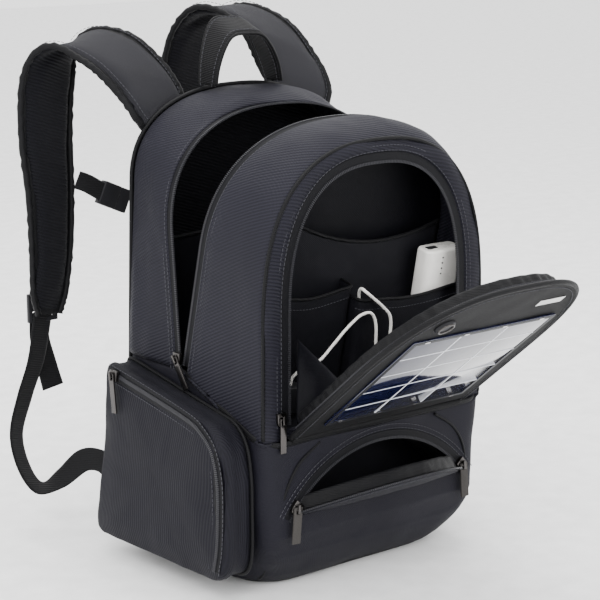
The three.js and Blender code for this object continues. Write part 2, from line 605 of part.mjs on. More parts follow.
const flap = turned(
  FLAP_HINGE.y, FLAP_HINGE.z, FLAP_OPEN,
  mesh("solar_flap", flapPlate, shellCloth),
  mesh("flap_zip_rim", flapRim(), coilNylon),
  mesh("solar_panel", panelPlate, solarGlass),
  mesh("cable_port", cablePort, blackPlastic),
);

root.add(
  mesh("front_shell", frontShell(), shellCloth),
  mainZip("main_zip_front", PIVOT.y - 1.6, FRONT_LEAN, FRONT_TOP),
  turned(
    PIVOT.y, PIVOT.z, DIVIDER_LEAN,
    mesh("divider_panel", dividerPanel(), liningCloth),
    mesh("tablet_pocket", tabletPocket(), liningCloth),
    mesh("phone_pouch", pouch(-112, -8, POUCH_BACK - 24, POUCH_BACK, 212, 318), liningCloth),
    mesh("battery_pouch", pouch(-6, 138, POUCH_BACK - 36, POUCH_BACK, 210, 306), liningCloth),
    mesh("battery_case", bankCase(), whitePlastic),
    mesh("charge_regulator", regulator, blackPlastic),
    mesh("charging_lead", leadTube(), whitePlastic),
    mesh("lead_plug", leadPlug, whitePlastic),
  ),
  mesh("flap_gusset_left", flapGusset(-1), liningCloth),
  mesh("flap_gusset_right", flapGusset(1), liningCloth),
  ...sliderPair("flap", [-125, FRONT_Y - 0.6, 188], [0, -1, 0], [0, 0, -1], [0, 0, -1], 34, 7, darkMetal),
  flap,
);

const flank = HALF + 1.6;
root.add(
  ...sliderPair("main_left", [-flank, ZIP_Y - 1.4, 226], [-1, 0, 0], [0, 0, -1], [0, -0.55, -0.8], 34, 8, darkMetal),
  ...sliderPair("main_right", [flank, ZIP_Y - 1.4, 226], [1, 0, 0], [0, 0, -1], [0, -0.3, -1], 42, 8, darkMetal),
  ...sliderPair("side", [-POCKET_OUT - 2.4, 72, 201.2], [-1, 0, 0], [0, 1, 0.17], [0, -0.12, -1], 40, 8, darkMetal),
);
for (const [name, side] of [["pocket_left", -1], ["pocket_right", 1]]) {
  const turn = rad(37.5 + 3);
  const reach = MOUTH.r + 2.5;
  const at = [MOUTH.x + side * reach * Math.cos(turn), -133.6, MOUTH.z + reach * Math.sin(turn)];
  const along = [side * Math.sin(turn), 0, -Math.cos(turn)];
  root.add(...sliderPair(name, at, [0, -1, 0], along, [side * 0.08, 0, -1], 36, 10, webCloth));
}

export default root;
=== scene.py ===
import bpy
import bmesh
import math
import numpy as np
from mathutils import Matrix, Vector, noise


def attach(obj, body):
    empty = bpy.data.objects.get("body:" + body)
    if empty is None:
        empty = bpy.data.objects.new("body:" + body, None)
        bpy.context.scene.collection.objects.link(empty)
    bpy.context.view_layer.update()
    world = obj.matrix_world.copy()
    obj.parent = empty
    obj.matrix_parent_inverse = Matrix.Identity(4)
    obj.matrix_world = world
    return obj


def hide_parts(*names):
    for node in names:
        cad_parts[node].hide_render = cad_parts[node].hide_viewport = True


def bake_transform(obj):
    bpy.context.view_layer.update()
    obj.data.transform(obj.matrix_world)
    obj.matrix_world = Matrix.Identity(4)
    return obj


MM = 0.001
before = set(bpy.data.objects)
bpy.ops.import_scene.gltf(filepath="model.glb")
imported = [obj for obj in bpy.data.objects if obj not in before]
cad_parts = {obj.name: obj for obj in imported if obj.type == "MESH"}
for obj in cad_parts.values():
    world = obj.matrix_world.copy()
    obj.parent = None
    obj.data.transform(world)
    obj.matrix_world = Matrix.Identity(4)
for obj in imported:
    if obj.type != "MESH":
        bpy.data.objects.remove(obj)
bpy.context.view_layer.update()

# ---------------- driving dimensions, as in the CAD
HALF = 148.0
BACK_HALF = 136.0
BACK_Y = 104.0
BACK_TOP = 487.0
ZIP_Y = 8.0
ZIP_TOP = 474.0
SHOULDER = 125.0
SEAM_Z = 214.0
REAR_LEAN = 5.0
FRONT_LEAN = 13.7
PIVOT_Y, PIVOT_Z = 5.0, 213.0
FRONT_TOP = 468.0
FRONT_Y = -127.0
FACE_TOP = 453.0
FOOT_SLOPE = 20.6
DIVIDER_LEAN = 11.0
DIVIDER_Y = -41.0
HINGE_Y, HINGE_Z = -132.0, 165.0
FLAP_OPEN = 50.0
FLAP_LENGTH = 270.0
FLAP_HALF = 118.0
OPENING_HALF = 114.0
OPENING_TOP = 431.0
MOUTH_X, MOUTH_Z, MOUTH_R, MOUTH_CHORD = 2.0, -1.0, 146.0, 85.0
LIP_OPEN = 62.0
LIP_Y, LIP_Z = -131.5, 85.6
POCKET_OUT = 182.0
CLOTH = 2.6
Y = np.array([0.0, 1.0, 0.0])
FRONT = "front_section"  # the body that hinges forward


def tan(degrees):
    return math.tan(math.radians(degrees))


def link(obj):
    bpy.context.scene.collection.objects.link(obj)


# ---------------- camera
AZIMUTH, ELEVATION = math.radians(-39), math.radians(13)
AIM = Vector((0.0026, -0.0013, 0.2665))
DISTANCE = 2.0
LENS, SENSOR = 113.1, 36
camera_data = bpy.data.cameras.new("camera")
camera_data.lens = LENS
camera_data.sensor_width = SENSOR
camera = bpy.data.objects.new("camera", camera_data)
link(camera)
level = math.cos(ELEVATION)
away = Vector((math.sin(AZIMUTH) * level, -math.cos(AZIMUTH) * level, math.sin(ELEVATION)))
camera.location = AIM + DISTANCE * away
camera.rotation_euler = away.to_track_quat("Z", "Y").to_euler()
bpy.context.scene.camera = camera


# ---------------- materials
GLOSSY_SLOTS = ("white_plastic", "solar_laminate", "dark_metal")
MATT_SPECULAR = 0.12


class Look:
    """Builds one procedural material; every pattern is in the object's own coordinates."""

    def __init__(self, name, slot, color, rough, metal=0.0):
        self.slot = slot
        self.material = bpy.data.materials.new(name)
        self.material.use_nodes = True
        self.tree = self.material.node_tree
        self.shader = self.tree.nodes["Principled BSDF"]
        self.shader.inputs["Base Color"].default_value = (*color, 1)
        self.shader.inputs["Roughness"].default_value = rough
        self.shader.inputs["Metallic"].default_value = metal
        if slot not in GLOSSY_SLOTS:
            self.shader.inputs["Specular IOR Level"].default_value = MATT_SPECULAR
        self.color = color
        self.place = self.tree.nodes.new("ShaderNodeTexCoord").outputs["Object"]
        self.height = None

    def node(self, kind, **inputs):
        made = self.tree.nodes.new(kind)
        for key, value in inputs.items():
            socket = made.inputs[key.replace("_", " ")]
            if isinstance(value, bpy.types.NodeSocket):
                self.tree.links.new(value, socket)
            else:
                socket.default_value = value
        return made

    def math(self, operation, a, b=0.0):
        made = self.tree.nodes.new("ShaderNodeMath")
        made.operation = operation
        for socket, value in zip(made.inputs, (a, b)):
            if isinstance(value, bpy.types.NodeSocket):
                self.tree.links.new(value, socket)
            else:
                socket.default_value = value
        return made.outputs[0]

    def noise(self, per_metre, detail=3.0):
        made = self.node("ShaderNodeTexNoise", Vector=self.place, Scale=per_metre, Detail=detail)
        return made.outputs["Fac"]

    def ribs(self, direction, pitch):
        """A wave from 0 to 1 that repeats every `pitch` millimetres along a direction."""
        dot = self.tree.nodes.new("ShaderNodeVectorMath")
        dot.operation = "DOT_PRODUCT"
        self.tree.links.new(self.place, dot.inputs[0])
        dot.inputs[1].default_value = Vector(direction).normalized()
        turn = self.math("MULTIPLY", dot.outputs["Value"], 2 * math.pi / (pitch * MM))
        return self.math("MULTIPLY_ADD", self.math("SINE", turn), 0.5)

    def add_height(self, value, weight):
        part = self.math("MULTIPLY", value, weight)
        self.height = part if self.height is None else self.math("ADD", self.height, part)
        return self

    def tint(self, value, low, high):
        """Scales the colour between low and high as the value goes from 0 to 1."""
        ramp = self.tree.nodes.new("ShaderNodeMix")
        ramp.data_type = "RGBA"
        self.tree.links.new(value, ramp.inputs["Factor"])
        ramp.inputs["A"].default_value = (*[c * low for c in self.color], 1)
        ramp.inputs["B"].default_value = (*[min(c * high, 1) for c in self.color], 1)
        self.tree.links.new(ramp.outputs["Result"], self.shader.inputs["Base Color"])
        return self

    def rough(self, value, low, high):
        spread = self.math("MULTIPLY", value, high - low)
        self.tree.links.new(self.math("ADD", spread, low), self.shader.inputs["Roughness"])
        return self

    def bump(self, distance):
        made = self.node("ShaderNodeBump", Height=self.height, Distance=distance * MM, Strength=0.9)
        self.tree.links.new(made.outputs["Normal"], self.shader.inputs["Normal"])
        return self

    def sheen(self, weight):
        self.shader.inputs["Sheen Weight"].default_value = weight
        self.shader.inputs["Sheen Roughness"].default_value = 0.4
        return self


def woven(name, slot, color, direction, pitch, depth, low=0.7, high=1.3, roughness=0.6, sheen=0.012):
    """Cloth with ribs along one direction, finer cross threads and faint wear."""
    look = Look(name, slot, color, roughness)
    cross = Vector(direction).cross(Vector((0.3, -0.7, 0.5)))
    ribs = look.ribs(direction, pitch)
    threads = look.ribs(cross, pitch * 0.45)
    wear = look.noise(14)
    grain = look.noise(900, 2)
    look.add_height(ribs, 1.0).add_height(threads, 0.35).add_height(grain, 0.5)
    blend = look.math("ADD", look.math("MULTIPLY", ribs, 0.45), look.math("MULTIPLY", wear, 0.35))
    blend = look.math("ADD", blend, look.math("MULTIPLY", grain, 0.2))
    look.tint(blend, low, high).rough(wear, roughness - 0.08, roughness + 0.08)
    return look.bump(depth).sheen(sheen)


TWILL = woven("ribbed_twill", "shell_fabric", (0.0096, 0.0093, 0.0142),
              (0.25, 0.42, 0.88), 3.1, 0.42, 0.55, 1.6)
DENIER = woven("plain_denier", "shell_fabric", (0.0074, 0.0071, 0.0112),
               (0.5, 0.6, 0.62), 1.1, 0.16, 0.8, 1.2)
UPRIGHT = woven("upright_ribs", "shell_fabric", (0.0057, 0.0055, 0.0088),
                (0.75, 0.66, 0.0), 2.2, 0.32, 0.6, 1.5)
SMOOTH = woven("flap_cloth", "shell_fabric", (0.0052, 0.0052, 0.0058),
               (0.8, 0.2, 0.5), 0.9, 0.08, 0.85, 1.15, 0.7)
LINING = woven("lining", "lining_fabric", (0.002, 0.002, 0.0034), (0.6, 0.1, 0.8), 1.2, 0.08, 0.7, 1.5, 0.55)
POUCH = woven("pouch_cloth", "lining_fabric", (0.0054, 0.0054, 0.0075),
              (0.6, 0.1, 0.8), 1.4, 0.12, 0.7, 1.4, 0.6)
BINDING = woven("binding_tape", "lining_fabric", (0.0041, 0.0041, 0.0048),
                (0.3, 0.5, 0.8), 1.6, 0.2, 0.7, 1.4, 0.5)
WEBBING = woven("webbing", "webbing", (0.0054, 0.0054, 0.0061), (0.2, 0.3, 0.95), 2.4, 0.3, 0.6, 1.5, 0.65)
PULL_CLOTH = woven("pull_cloth", "webbing", (0.040, 0.037, 0.035), (0, 0, 1), 1.5, 0.2, 0.7, 1.3, 0.7)
TAPE = woven("zip_tape", "zip_coil", (0.0041, 0.0041, 0.0054), (0.4, 0.5, 0.76), 1.0, 0.12)
STRAP = woven("strap_cloth", "mesh_fabric", (0.0165, 0.0163, 0.0195),
              (0.9, 0.3, 0.3), 1.3, 0.3, 0.6, 1.45, 0.8, 0.03)
AIRMESH = woven("air_mesh", "mesh_fabric", (0.0030, 0.0030, 0.0045),
                (0.3, 0.1, 0.95), 3.4, 0.8, 0.4, 1.9, 0.75, 0.02)


def plain(name, slot, color, roughness, metal=0.0, grain=600, depth=0.05):
    look = Look(name, slot, color, roughness, metal)
    speck = look.noise(grain)
    smear = look.noise(35)
    look.add_height(speck, 1.0).tint(smear, 0.85, 1.15).rough(smear, roughness * 0.8, roughness * 1.2)
    return look.bump(depth)


TEETH = plain("coil_teeth", "zip_coil", (0.030, 0.030, 0.034), 0.3)
THREAD = plain("thread", "shell_fabric", (0.050, 0.050, 0.058), 0.6)
PLASTIC = plain("black_plastic", "black_plastic", (0.016, 0.016, 0.018), 0.4)
METAL = plain("gunmetal", "dark_metal", (0.075, 0.070, 0.068), 0.30, 1.0)
BRIGHT = plain("bright_metal", "dark_metal", (0.62, 0.61, 0.60), 0.25, 1.0)
WHITE = plain("white_plastic", "white_plastic", (0.86, 0.84, 0.80), 0.28, 0.0, 500, 0.01)
CELL = plain("solar_cell", "solar_laminate", (0.006, 0.008, 0.030), 0.10, 0.0, 90, 0.03)
CELL.shader.inputs["Coat Weight"].default_value = 1.0
CELL.shader.inputs["Coat Roughness"].default_value = 0.05
GRID = plain("cell_lines", "solar_laminate", (0.75, 0.76, 0.80), 0.3)
FLOOR = plain("floor", "shell_fabric", (0.92, 0.92, 0.92), 0.6)


# ---------------- mesh helpers
def piece(name, verts, faces, look, body=None, stands_for=(), smooth=True):
    """A mesh object in the row frame that rides on a body and may stand for CAD nodes."""
    mesh = bpy.data.meshes.new(name)
    mesh.from_pydata((np.asarray(verts, float) * MM).tolist(), [], faces)
    work = bmesh.new()
    work.from_mesh(mesh)
    bmesh.ops.recalc_face_normals(work, faces=work.faces)
    work.to_mesh(mesh)
    work.free()
    if smooth:
        mesh.shade_smooth()
    mesh.materials.append(look.material)
    obj = bpy.data.objects.new(name, mesh)
    link(obj)
    if body:
        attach(obj, body)
    if stands_for:
        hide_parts(*stands_for)
    return obj


class Parts:
    """Collects many small solids into one mesh."""

    BRICK_FACES = [(0, 1, 3, 2), (4, 6, 7, 5), (0, 4, 5, 1), (2, 3, 7, 6), (0, 2, 6, 4), (1, 5, 7, 3)]

    def __init__(self):
        self.verts = []
        self.faces = []

    def add(self, verts, faces):
        start = len(self.verts)
        self.verts += [tuple(v) for v in verts]
        self.faces += [tuple(start + i for i in f) for f in faces]

    def brick(self, middle, along, side, up, size):
        """A small box: size is its length along each of the three directions."""
        a, b, c = (np.asarray(d, float) * s / 2 for d, s in zip((along, side, up), size))
        corners = [middle + i * a + j * b + k * c for i in (-1, 1) for j in (-1, 1) for k in (-1, 1)]
        self.add(corners, self.BRICK_FACES)

    def build(self, name, look, body, smooth=False):
        piece(name, self.verts, self.faces, look, body, smooth=smooth)


def xyz(x, y, z):
    """Points from their coordinates; a single number holds for all of them."""
    return np.stack(np.broadcast_arrays(x, y, z), axis=-1)


def unit(v):
    v = np.asarray(v, float)
    return v / np.maximum(np.linalg.norm(v, axis=-1, keepdims=True), 1e-9)


def even(points, count, columns=None):
    """The same rows at `count` even distances, measured over their first columns."""
    points = np.asarray(points, float)
    run = np.concatenate([[0], np.cumsum(np.linalg.norm(np.diff(points[:, :columns], axis=0), axis=1))])
    at = np.linspace(0, run[-1], count)
    return np.stack([np.interp(at, run, points[:, k]) for k in range(points.shape[1])], axis=1)


def spline(points, per_span=12):
    """A smooth line through the points."""
    p = np.asarray(points, float)
    p = np.vstack([2 * p[0] - p[1], p, 2 * p[-1] - p[-2]])
    out = []
    for i in range(1, len(p) - 2):
        for t in np.linspace(0, 1, per_span, endpoint=False):
            a, b, c, d = p[i - 1 : i + 3]
            square = 2 * a - 5 * b + 4 * c - d
            cube = 3 * b - a - 3 * c + d
            out.append(0.5 * (2 * b + (c - a) * t + square * t**2 + cube * t**3))
    out.append(p[-2])
    return np.array(out)


def rows_to_faces(rows, cols, closed=False):
    last = cols if closed else cols - 1
    return [
        (i * cols + j, i * cols + (j + 1) % cols, (i + 1) * cols + (j + 1) % cols, (i + 1) * cols + j)
        for i in range(rows - 1)
        for j in range(last)
    ]


def tube_faces(rows, cols):
    """Faces of a tube with both ends closed."""
    ends = [tuple(range(cols)), tuple((rows - 1) * cols + i for i in reversed(range(cols)))]
    return rows_to_faces(rows, cols, closed=True) + ends


def is_closed(grid):
    return np.abs(grid[:, 0] - grid[:, -1]).max() < 0.01


def grid_normals(grid):
    across = np.gradient(grid, axis=1)
    if is_closed(grid):
        across[:, 0] = across[:, -1] = (grid[:, 1] - grid[:, -2]) / 2
    return unit(np.cross(np.gradient(grid, axis=0), across))


def bridge(loop, shift):
    """Faces between a loop of points and the same loop `shift` points further on."""
    return [(a, b, shift + b, shift + a) for a, b in zip(loop, loop[1:] + loop[:1])]


SMALL_RING = 14


def skin(grid, thick, inwards, keep=None):
    """A closed cloth panel with `grid` as its outer face and its inner face towards `inwards`.

    Where the grid's first and last columns meet it is a tube, and an end that is nearly a point is filled in.
    """
    rows, cols = grid.shape[:2]
    closed = is_closed(grid)
    normal = grid_normals(grid)
    towards = np.asarray(inwards, float) - grid
    if (normal * towards).sum() < 0:
        normal = -normal
    soft = np.ones((rows, cols, 1))
    soft[0], soft[-1] = 0.5, 0.5
    if not closed:
        soft[:, 0], soft[:, -1] = 0.5, 0.5
    middle = grid + normal * thick / 2
    outer = middle - normal * thick / 2 * soft
    inner = middle + normal * thick / 2 * soft
    if closed:
        outer, inner = outer[:, :-1], inner[:, :-1]
        cols -= 1
    verts = np.concatenate([outer.reshape(-1, 3), inner.reshape(-1, 3)])
    count = rows * cols
    flat = rows_to_faces(rows, cols, closed)
    if keep is not None:
        flat = [f for f in flat if keep(verts[list(f)].mean(axis=0))]
    faces = flat + [tuple(count + i for i in reversed(f)) for f in flat]
    if not closed:
        rim = [(0, j) for j in range(cols)] + [(i, cols - 1) for i in range(1, rows)]
        rim += [(rows - 1, j) for j in range(cols - 2, -1, -1)] + [(i, 0) for i in range(rows - 2, 0, -1)]
        return verts, faces + bridge([i * cols + j for i, j in rim], count)
    for row in (0, rows - 1):
        ring = [row * cols + j for j in range(cols)]
        if np.ptp(grid[row], axis=0).max() < SMALL_RING:
            faces += [tuple(ring), tuple(count + i for i in ring)]
        else:
            faces += bridge(ring, count)
    return verts, faces


def wrinkle(grid, height, size, seed=0.0, stretch=(1, 1, 1), sewn=False):
    """Moves a grid along its normals by soft folds `size` apart; a sewn panel's ends stay put."""
    normal = grid_normals(grid)
    flat = grid.reshape(-1, 3) / size * np.asarray(stretch)
    lift = [noise.noise(Vector(p) + Vector((seed, 2 * seed, -seed))) for p in flat]
    fine = [0.35 * noise.noise(Vector(p) * 2.7 + Vector((-seed, seed, 5))) for p in flat]
    calm = np.clip(np.ptp(grid, axis=1).max(axis=1) / 60, 0, 1)[:, None, None] ** 2
    if sewn:
        along = np.linspace(0, 1, grid.shape[1])
        calm = calm * np.clip(np.minimum(along, 1 - along) / 0.14, 0, 1)[None, :, None]
    return grid + normal * (np.array(lift) + np.array(fine)).reshape(grid.shape[:2] + (1,)) * height * calm


def arch(low, half, z0, top, shoulder, power=0.85, count=121):
    """(x, z) along an upright arch, from the right foot over the top to the left one."""

    def bend(v):
        return np.sign(v) * np.abs(v) ** power

    t = np.linspace(0, math.pi, 241)
    x = np.concatenate([[low], half * bend(np.cos(t)), [-low]])
    z = np.concatenate([[z0], top - shoulder + shoulder * bend(np.sin(t)), [z0]])
    return even(np.stack([x, z], axis=1), count)


def lean_arch(y, lean, *numbers, **options):
    xz = arch(*numbers, **options)
    return xyz(xz[:, 0], y - (xz[:, 1] - PIVOT_Z) * tan(lean), xz[:, 1])


def through(lines, stops, count):
    """A grid whose columns run through several matching lines, smoothly."""
    lines = np.asarray(lines)
    at = np.linspace(0, 1, count)
    out = np.zeros((lines.shape[1], count, 3))
    for i in range(len(lines)):
        weight = np.ones(count)
        for j in range(len(lines)):
            if j != i:
                weight *= (at - stops[j]) / (stops[i] - stops[j])
        out += lines[i][:, None, :] * weight[None, :, None]
    return out


def tangents(path):
    return unit(np.gradient(path, axis=0))


def square_to(tangent, side):
    """Unit directions square to the tangents, as near `side` as can be."""
    return unit(side - (side * tangent).sum(axis=1, keepdims=True) * tangent)


def outward(path, middle):
    """Unit directions that lead away from a point, square to a path."""
    return square_to(tangents(path), path - np.asarray(middle, float))


def outward_upright(path, middle):
    """The same, with nothing along Y."""
    away_dir = outward(path, middle)
    away_dir[:, 1] = 0
    return unit(away_dir)


def ribbon(path, side, width, thick, section="flat", points=10):
    """A band along a path; `side` is the direction across it."""
    path = np.asarray(path, float)
    count = len(path)
    tangent = tangents(path)
    side = np.broadcast_to(np.asarray(side, float), path.shape)
    side = square_to(tangent, side)
    up = np.cross(tangent, side)
    width = np.broadcast_to(np.asarray(width, float), (count,))
    a = np.linspace(-1, 1, points)
    if section == "pad":
        b = (1 - np.abs(a) ** 5) ** 0.5 * 0.82 + 0.18
    else:
        b = np.where(np.abs(a) > 0.97, 0.5, 1.0)
    a = np.concatenate([a, a[::-1]])
    b = np.concatenate([b, -b[::-1]])
    verts = path[:, None, :] + side[:, None, :] * (a[None, :] * width[:, None] / 2)[..., None]
    verts = verts + up[:, None, :] * (b * thick / 2)[None, :, None]
    return verts.reshape(-1, 3), tube_faces(count, len(a))


def rope(path, radius, sides=8):
    """A round tube along a path."""
    path = np.asarray(path, float)
    tangent = tangents(path)
    seed = np.array([0.3, 0.9, 0.31])
    side = unit(np.cross(tangent, seed))
    up = np.cross(tangent, side)
    turn = np.linspace(0, 2 * math.pi, sides, endpoint=False)
    radius = np.broadcast_to(np.asarray(radius, float), (len(path),))
    ring = side[:, None] * np.cos(turn)[None, :, None] + up[:, None] * np.sin(turn)[None, :, None]
    verts = path[:, None] + ring * radius[:, None, None]
    return verts.reshape(-1, 3), tube_faces(len(path), sides)


def length_of(path):
    return float(np.linalg.norm(np.diff(path, axis=0), axis=1).sum())


def teeth(parts, path, across, face, pitch=2.0, width=3.0, thick=1.6):
    """The coil of a zip, as small teeth along a path."""
    count = max(int(length_of(path) / pitch), 2)
    table = np.hstack([path, np.broadcast_to(across, path.shape), np.broadcast_to(face, path.shape)])
    table = even(even(table, count), count, 3)
    tangent = tangents(table[:, :3])
    for row, along in zip(table, tangent):
        up = unit(row[6:9])
        side = unit(np.cross(up, along))
        parts.brick(row[:3], along, side, up, (pitch * 0.55, width, thick))


def stitches(parts, path, face, stitch=3.0, gap=1.6, size=0.55):
    """A dashed line of thread that stands a little proud of the cloth."""
    count = max(int(length_of(path) / (stitch + gap)), 2)
    table = even(np.hstack([path, np.broadcast_to(face, path.shape)]), count, 3)
    tangent = tangents(table[:, :3])
    for row, along in zip(table, tangent):
        up = unit(row[3:6])
        parts.brick(row[:3], along, unit(np.cross(up, along)), up, (stitch, size, size))


def apply_modifiers(obj):
    depsgraph = bpy.context.evaluated_depsgraph_get()
    done = bpy.data.meshes.new_from_object(obj.evaluated_get(depsgraph))
    obj.modifiers.clear()
    obj.data = done


def hard(node, body, look, width=0.5, segments=2, name=None):
    """A CAD node's shape with its edges rounded."""
    obj = bpy.data.objects.new(name or node + "_shape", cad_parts[node].data.copy())
    link(obj)
    weld = obj.modifiers.new("weld", "WELD")
    weld.merge_threshold = 0.00001
    bevel = obj.modifiers.new("bevel", "BEVEL")
    bevel.width = width * MM
    bevel.segments = segments
    bevel.limit_method = "ANGLE"
    bevel.angle_limit = math.radians(35)
    apply_modifiers(obj)
    obj.data.materials.clear()
    obj.data.materials.append(look.material)
    obj.data.shade_smooth()
    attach(obj, body)
    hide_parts(node)
    return obj


PRESSURE, VOXEL, CLOTH_STEPS = 4.0, 5.0, 20


def inflate(obj, cap):
    """Swells a padded piece by cloth simulation, with no point moving more than `cap` millimetres."""
    remesh = obj.modifiers.new("remesh", "REMESH")
    remesh.mode = "VOXEL"
    remesh.voxel_size = VOXEL * MM
    apply_modifiers(obj)
    before = np.array([v.co for v in obj.data.vertices])
    cloth = obj.modifiers.new("cloth", "CLOTH")
    cloth.settings.use_pressure = True
    cloth.settings.uniform_pressure_force = PRESSURE
    cloth.settings.effector_weights.gravity = 0
    cloth.settings.quality = 4
    for step in range(1, CLOTH_STEPS + 1):
        bpy.context.scene.frame_set(step)
    apply_modifiers(obj)
    bpy.context.scene.frame_set(1)
    after = np.array([v.co for v in obj.data.vertices])
    move = after - before
    far = np.linalg.norm(move, axis=1, keepdims=True)
    after = before + move * np.minimum(1, cap * MM / np.maximum(far, 1e-9))
    obj.data.vertices.foreach_set("co", after.ravel())
    smooth = obj.modifiers.new("smooth", "SMOOTH")
    smooth.iterations = 4
    divide = obj.modifiers.new("divide", "SUBSURF")
    divide.levels = 1
    apply_modifiers(obj)
    obj.data.shade_smooth()


def tilt_x(points, y, z, degrees):
    """Turns points about the X axis through (y, z)."""
    points = np.array(points, float)
    c, s = math.cos(math.radians(degrees)), math.sin(math.radians(degrees))
    dy, dz = points[..., 1] - y, points[..., 2] - z
    points[..., 1] = y + dy * c - dz * s
    points[..., 2] = z + dy * s + dz * c
    return points


def flap_open(points):
    return tilt_x(points, HINGE_Y, HINGE_Z, FLAP_OPEN)


def lip_open(points):
    return tilt_x(points, LIP_Y, LIP_Z, LIP_OPEN)


def leant(points):
    return tilt_x(points, PIVOT_Y, PIVOT_Z, DIVIDER_LEAN)


def turned(move, direction):
    """A direction as one of these moves turns it."""
    return move(direction) - move((0, 0, 0))


# ---------------- the charging lead
LEAD = leant([
    (-92, -101, 232), (-91, -102, 241), (-84, -106, 250), (-73, -109, 255), (-63, -109.6, 259),
    (-47, -107.5, 272),
    (-33, -105, 282.5), (-21, -103.5, 290.5), (-11, -102.5, 295.5), (1, -102.2, 296), (7.5, -103.2, 289),
    (10, -105, 278), (12, -106, 260), (18, -106, 247), (27, -105.5, 250), (31, -104.5, 268),
    (28.5, -103.7, 288),
    (18, -101.5, 300), (5.6, -99.8, 310), (-3, -97, 317), (-5, -91, 319), (-2, -85, 312), (4, -81, 298),
    (8, -79.5, 280), (9, -79, 252),
])
LEAD_DIAMETER = 3.2


def make_lead():
    path = spline(LEAD, 6)
    curve = bpy.data.curves.new("charging_lead_curve", "CURVE")
    curve.dimensions = "3D"
    curve.bevel_depth = LEAD_DIAMETER / 2 * MM
    curve.bevel_resolution = 3
    line = curve.splines.new("POLY")
    line.points.add(len(path) - 1)
    for point, at in zip(line.points, path):
        point.co = (*(at * MM), 1)
    curve.materials.append(WHITE.material)
    lead = bpy.data.objects.new("lead_cord", curve)
    link(lead)
    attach(lead, FRONT)
    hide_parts("charging_lead")
    plug = hard("lead_plug", FRONT, WHITE, 1.6, 3, "lead_connector")


make_lead()


# ---------------- floor and light
SKY = 2.1


def make_stage():
    bpy.ops.mesh.primitive_plane_add(size=14)
    floor = bpy.context.object
    floor.name = "floor"
    floor.data.materials.append(FLOOR.material)
    world = bpy.data.worlds.new("studio")
    world.use_nodes = True
    world.node_tree.nodes["Background"].inputs["Color"].default_value = (1, 1, 1, 1)
    world.node_tree.nodes["Background"].inputs["Strength"].default_value = SKY
    bpy.context.scene.world = world
    for name, at, size, power in (
        ("key", (-1.9, -1.2, 2.0), 1.2, 46),
        ("front", (0.5, -2.6, 1.2), 1.4, 22),
        ("top", (0.2, 0.5, 2.6), 1.5, 46),
    ):
        data = bpy.data.lights.new(name, "AREA")
        data.size = size
        data.energy = power
        lamp = bpy.data.objects.new(name, data)
        link(lamp)
        lamp.location = at
        lamp.rotation_euler = (Vector(at) - Vector((0, 0, 0.25))).to_track_quat("Z", "Y").to_euler()


make_stage()

# ---------------- back and main compartment
CORE = (0, 30, 300)
PAD_X = 64


def make_rear():
    edge_y = ZIP_Y + 7
    back = lean_arch(BACK_Y - 0.5, 0, HALF - 1, BACK_HALF, SEAM_Z, BACK_TOP - 1, 95)
    middle = lean_arch(58, -2, HALF + 3, HALF - 4, SEAM_Z, BACK_TOP - 2, 110)
    front = lean_arch(edge_y, -REAR_LEAN, HALF, HALF, SEAM_Z, ZIP_TOP, SHOULDER)
    grid = through([back, middle, front], [0, 0.5, 1], 30)
    grid = wrinkle(grid, 4.2, 62, 3.0, (1, 1, 0.7), sewn=True)
    piece("rear_gusset_cloth", *skin(grid, CLOTH, CORE), TWILL, "bag", ["rear_gusset"])
    away_dir = outward_upright(front, CORE)
    tape_path = front - 3.5 * Y - away_dir * 1.6
    piece("main_zip_rear_tape", *ribbon(tape_path, (0, 1, 0), 9.0, 1.2), TAPE, "bag", ["main_zip_rear"])
    coil, thread = Parts(), Parts()
    teeth(coil, front - 7.4 * Y - away_dir * 1.2, (0, 1, 0), away_dir)
    for back_by in (2.5, 8.0):
        stitches(thread, front + back_by * Y + away_dir * 0.5, away_dir)
    coil.build("main_zip_rear_teeth", TEETH, "bag")
    thread.build("rear_stitching", THREAD, "bag")
    piping = lean_arch(BACK_Y + 1.0, 0, HALF + 0.5, BACK_HALF + 1.5, 20, BACK_TOP + 0.5, 95)
    piece("back_piping", *rope(piping, 2.4), BINDING, "bag")


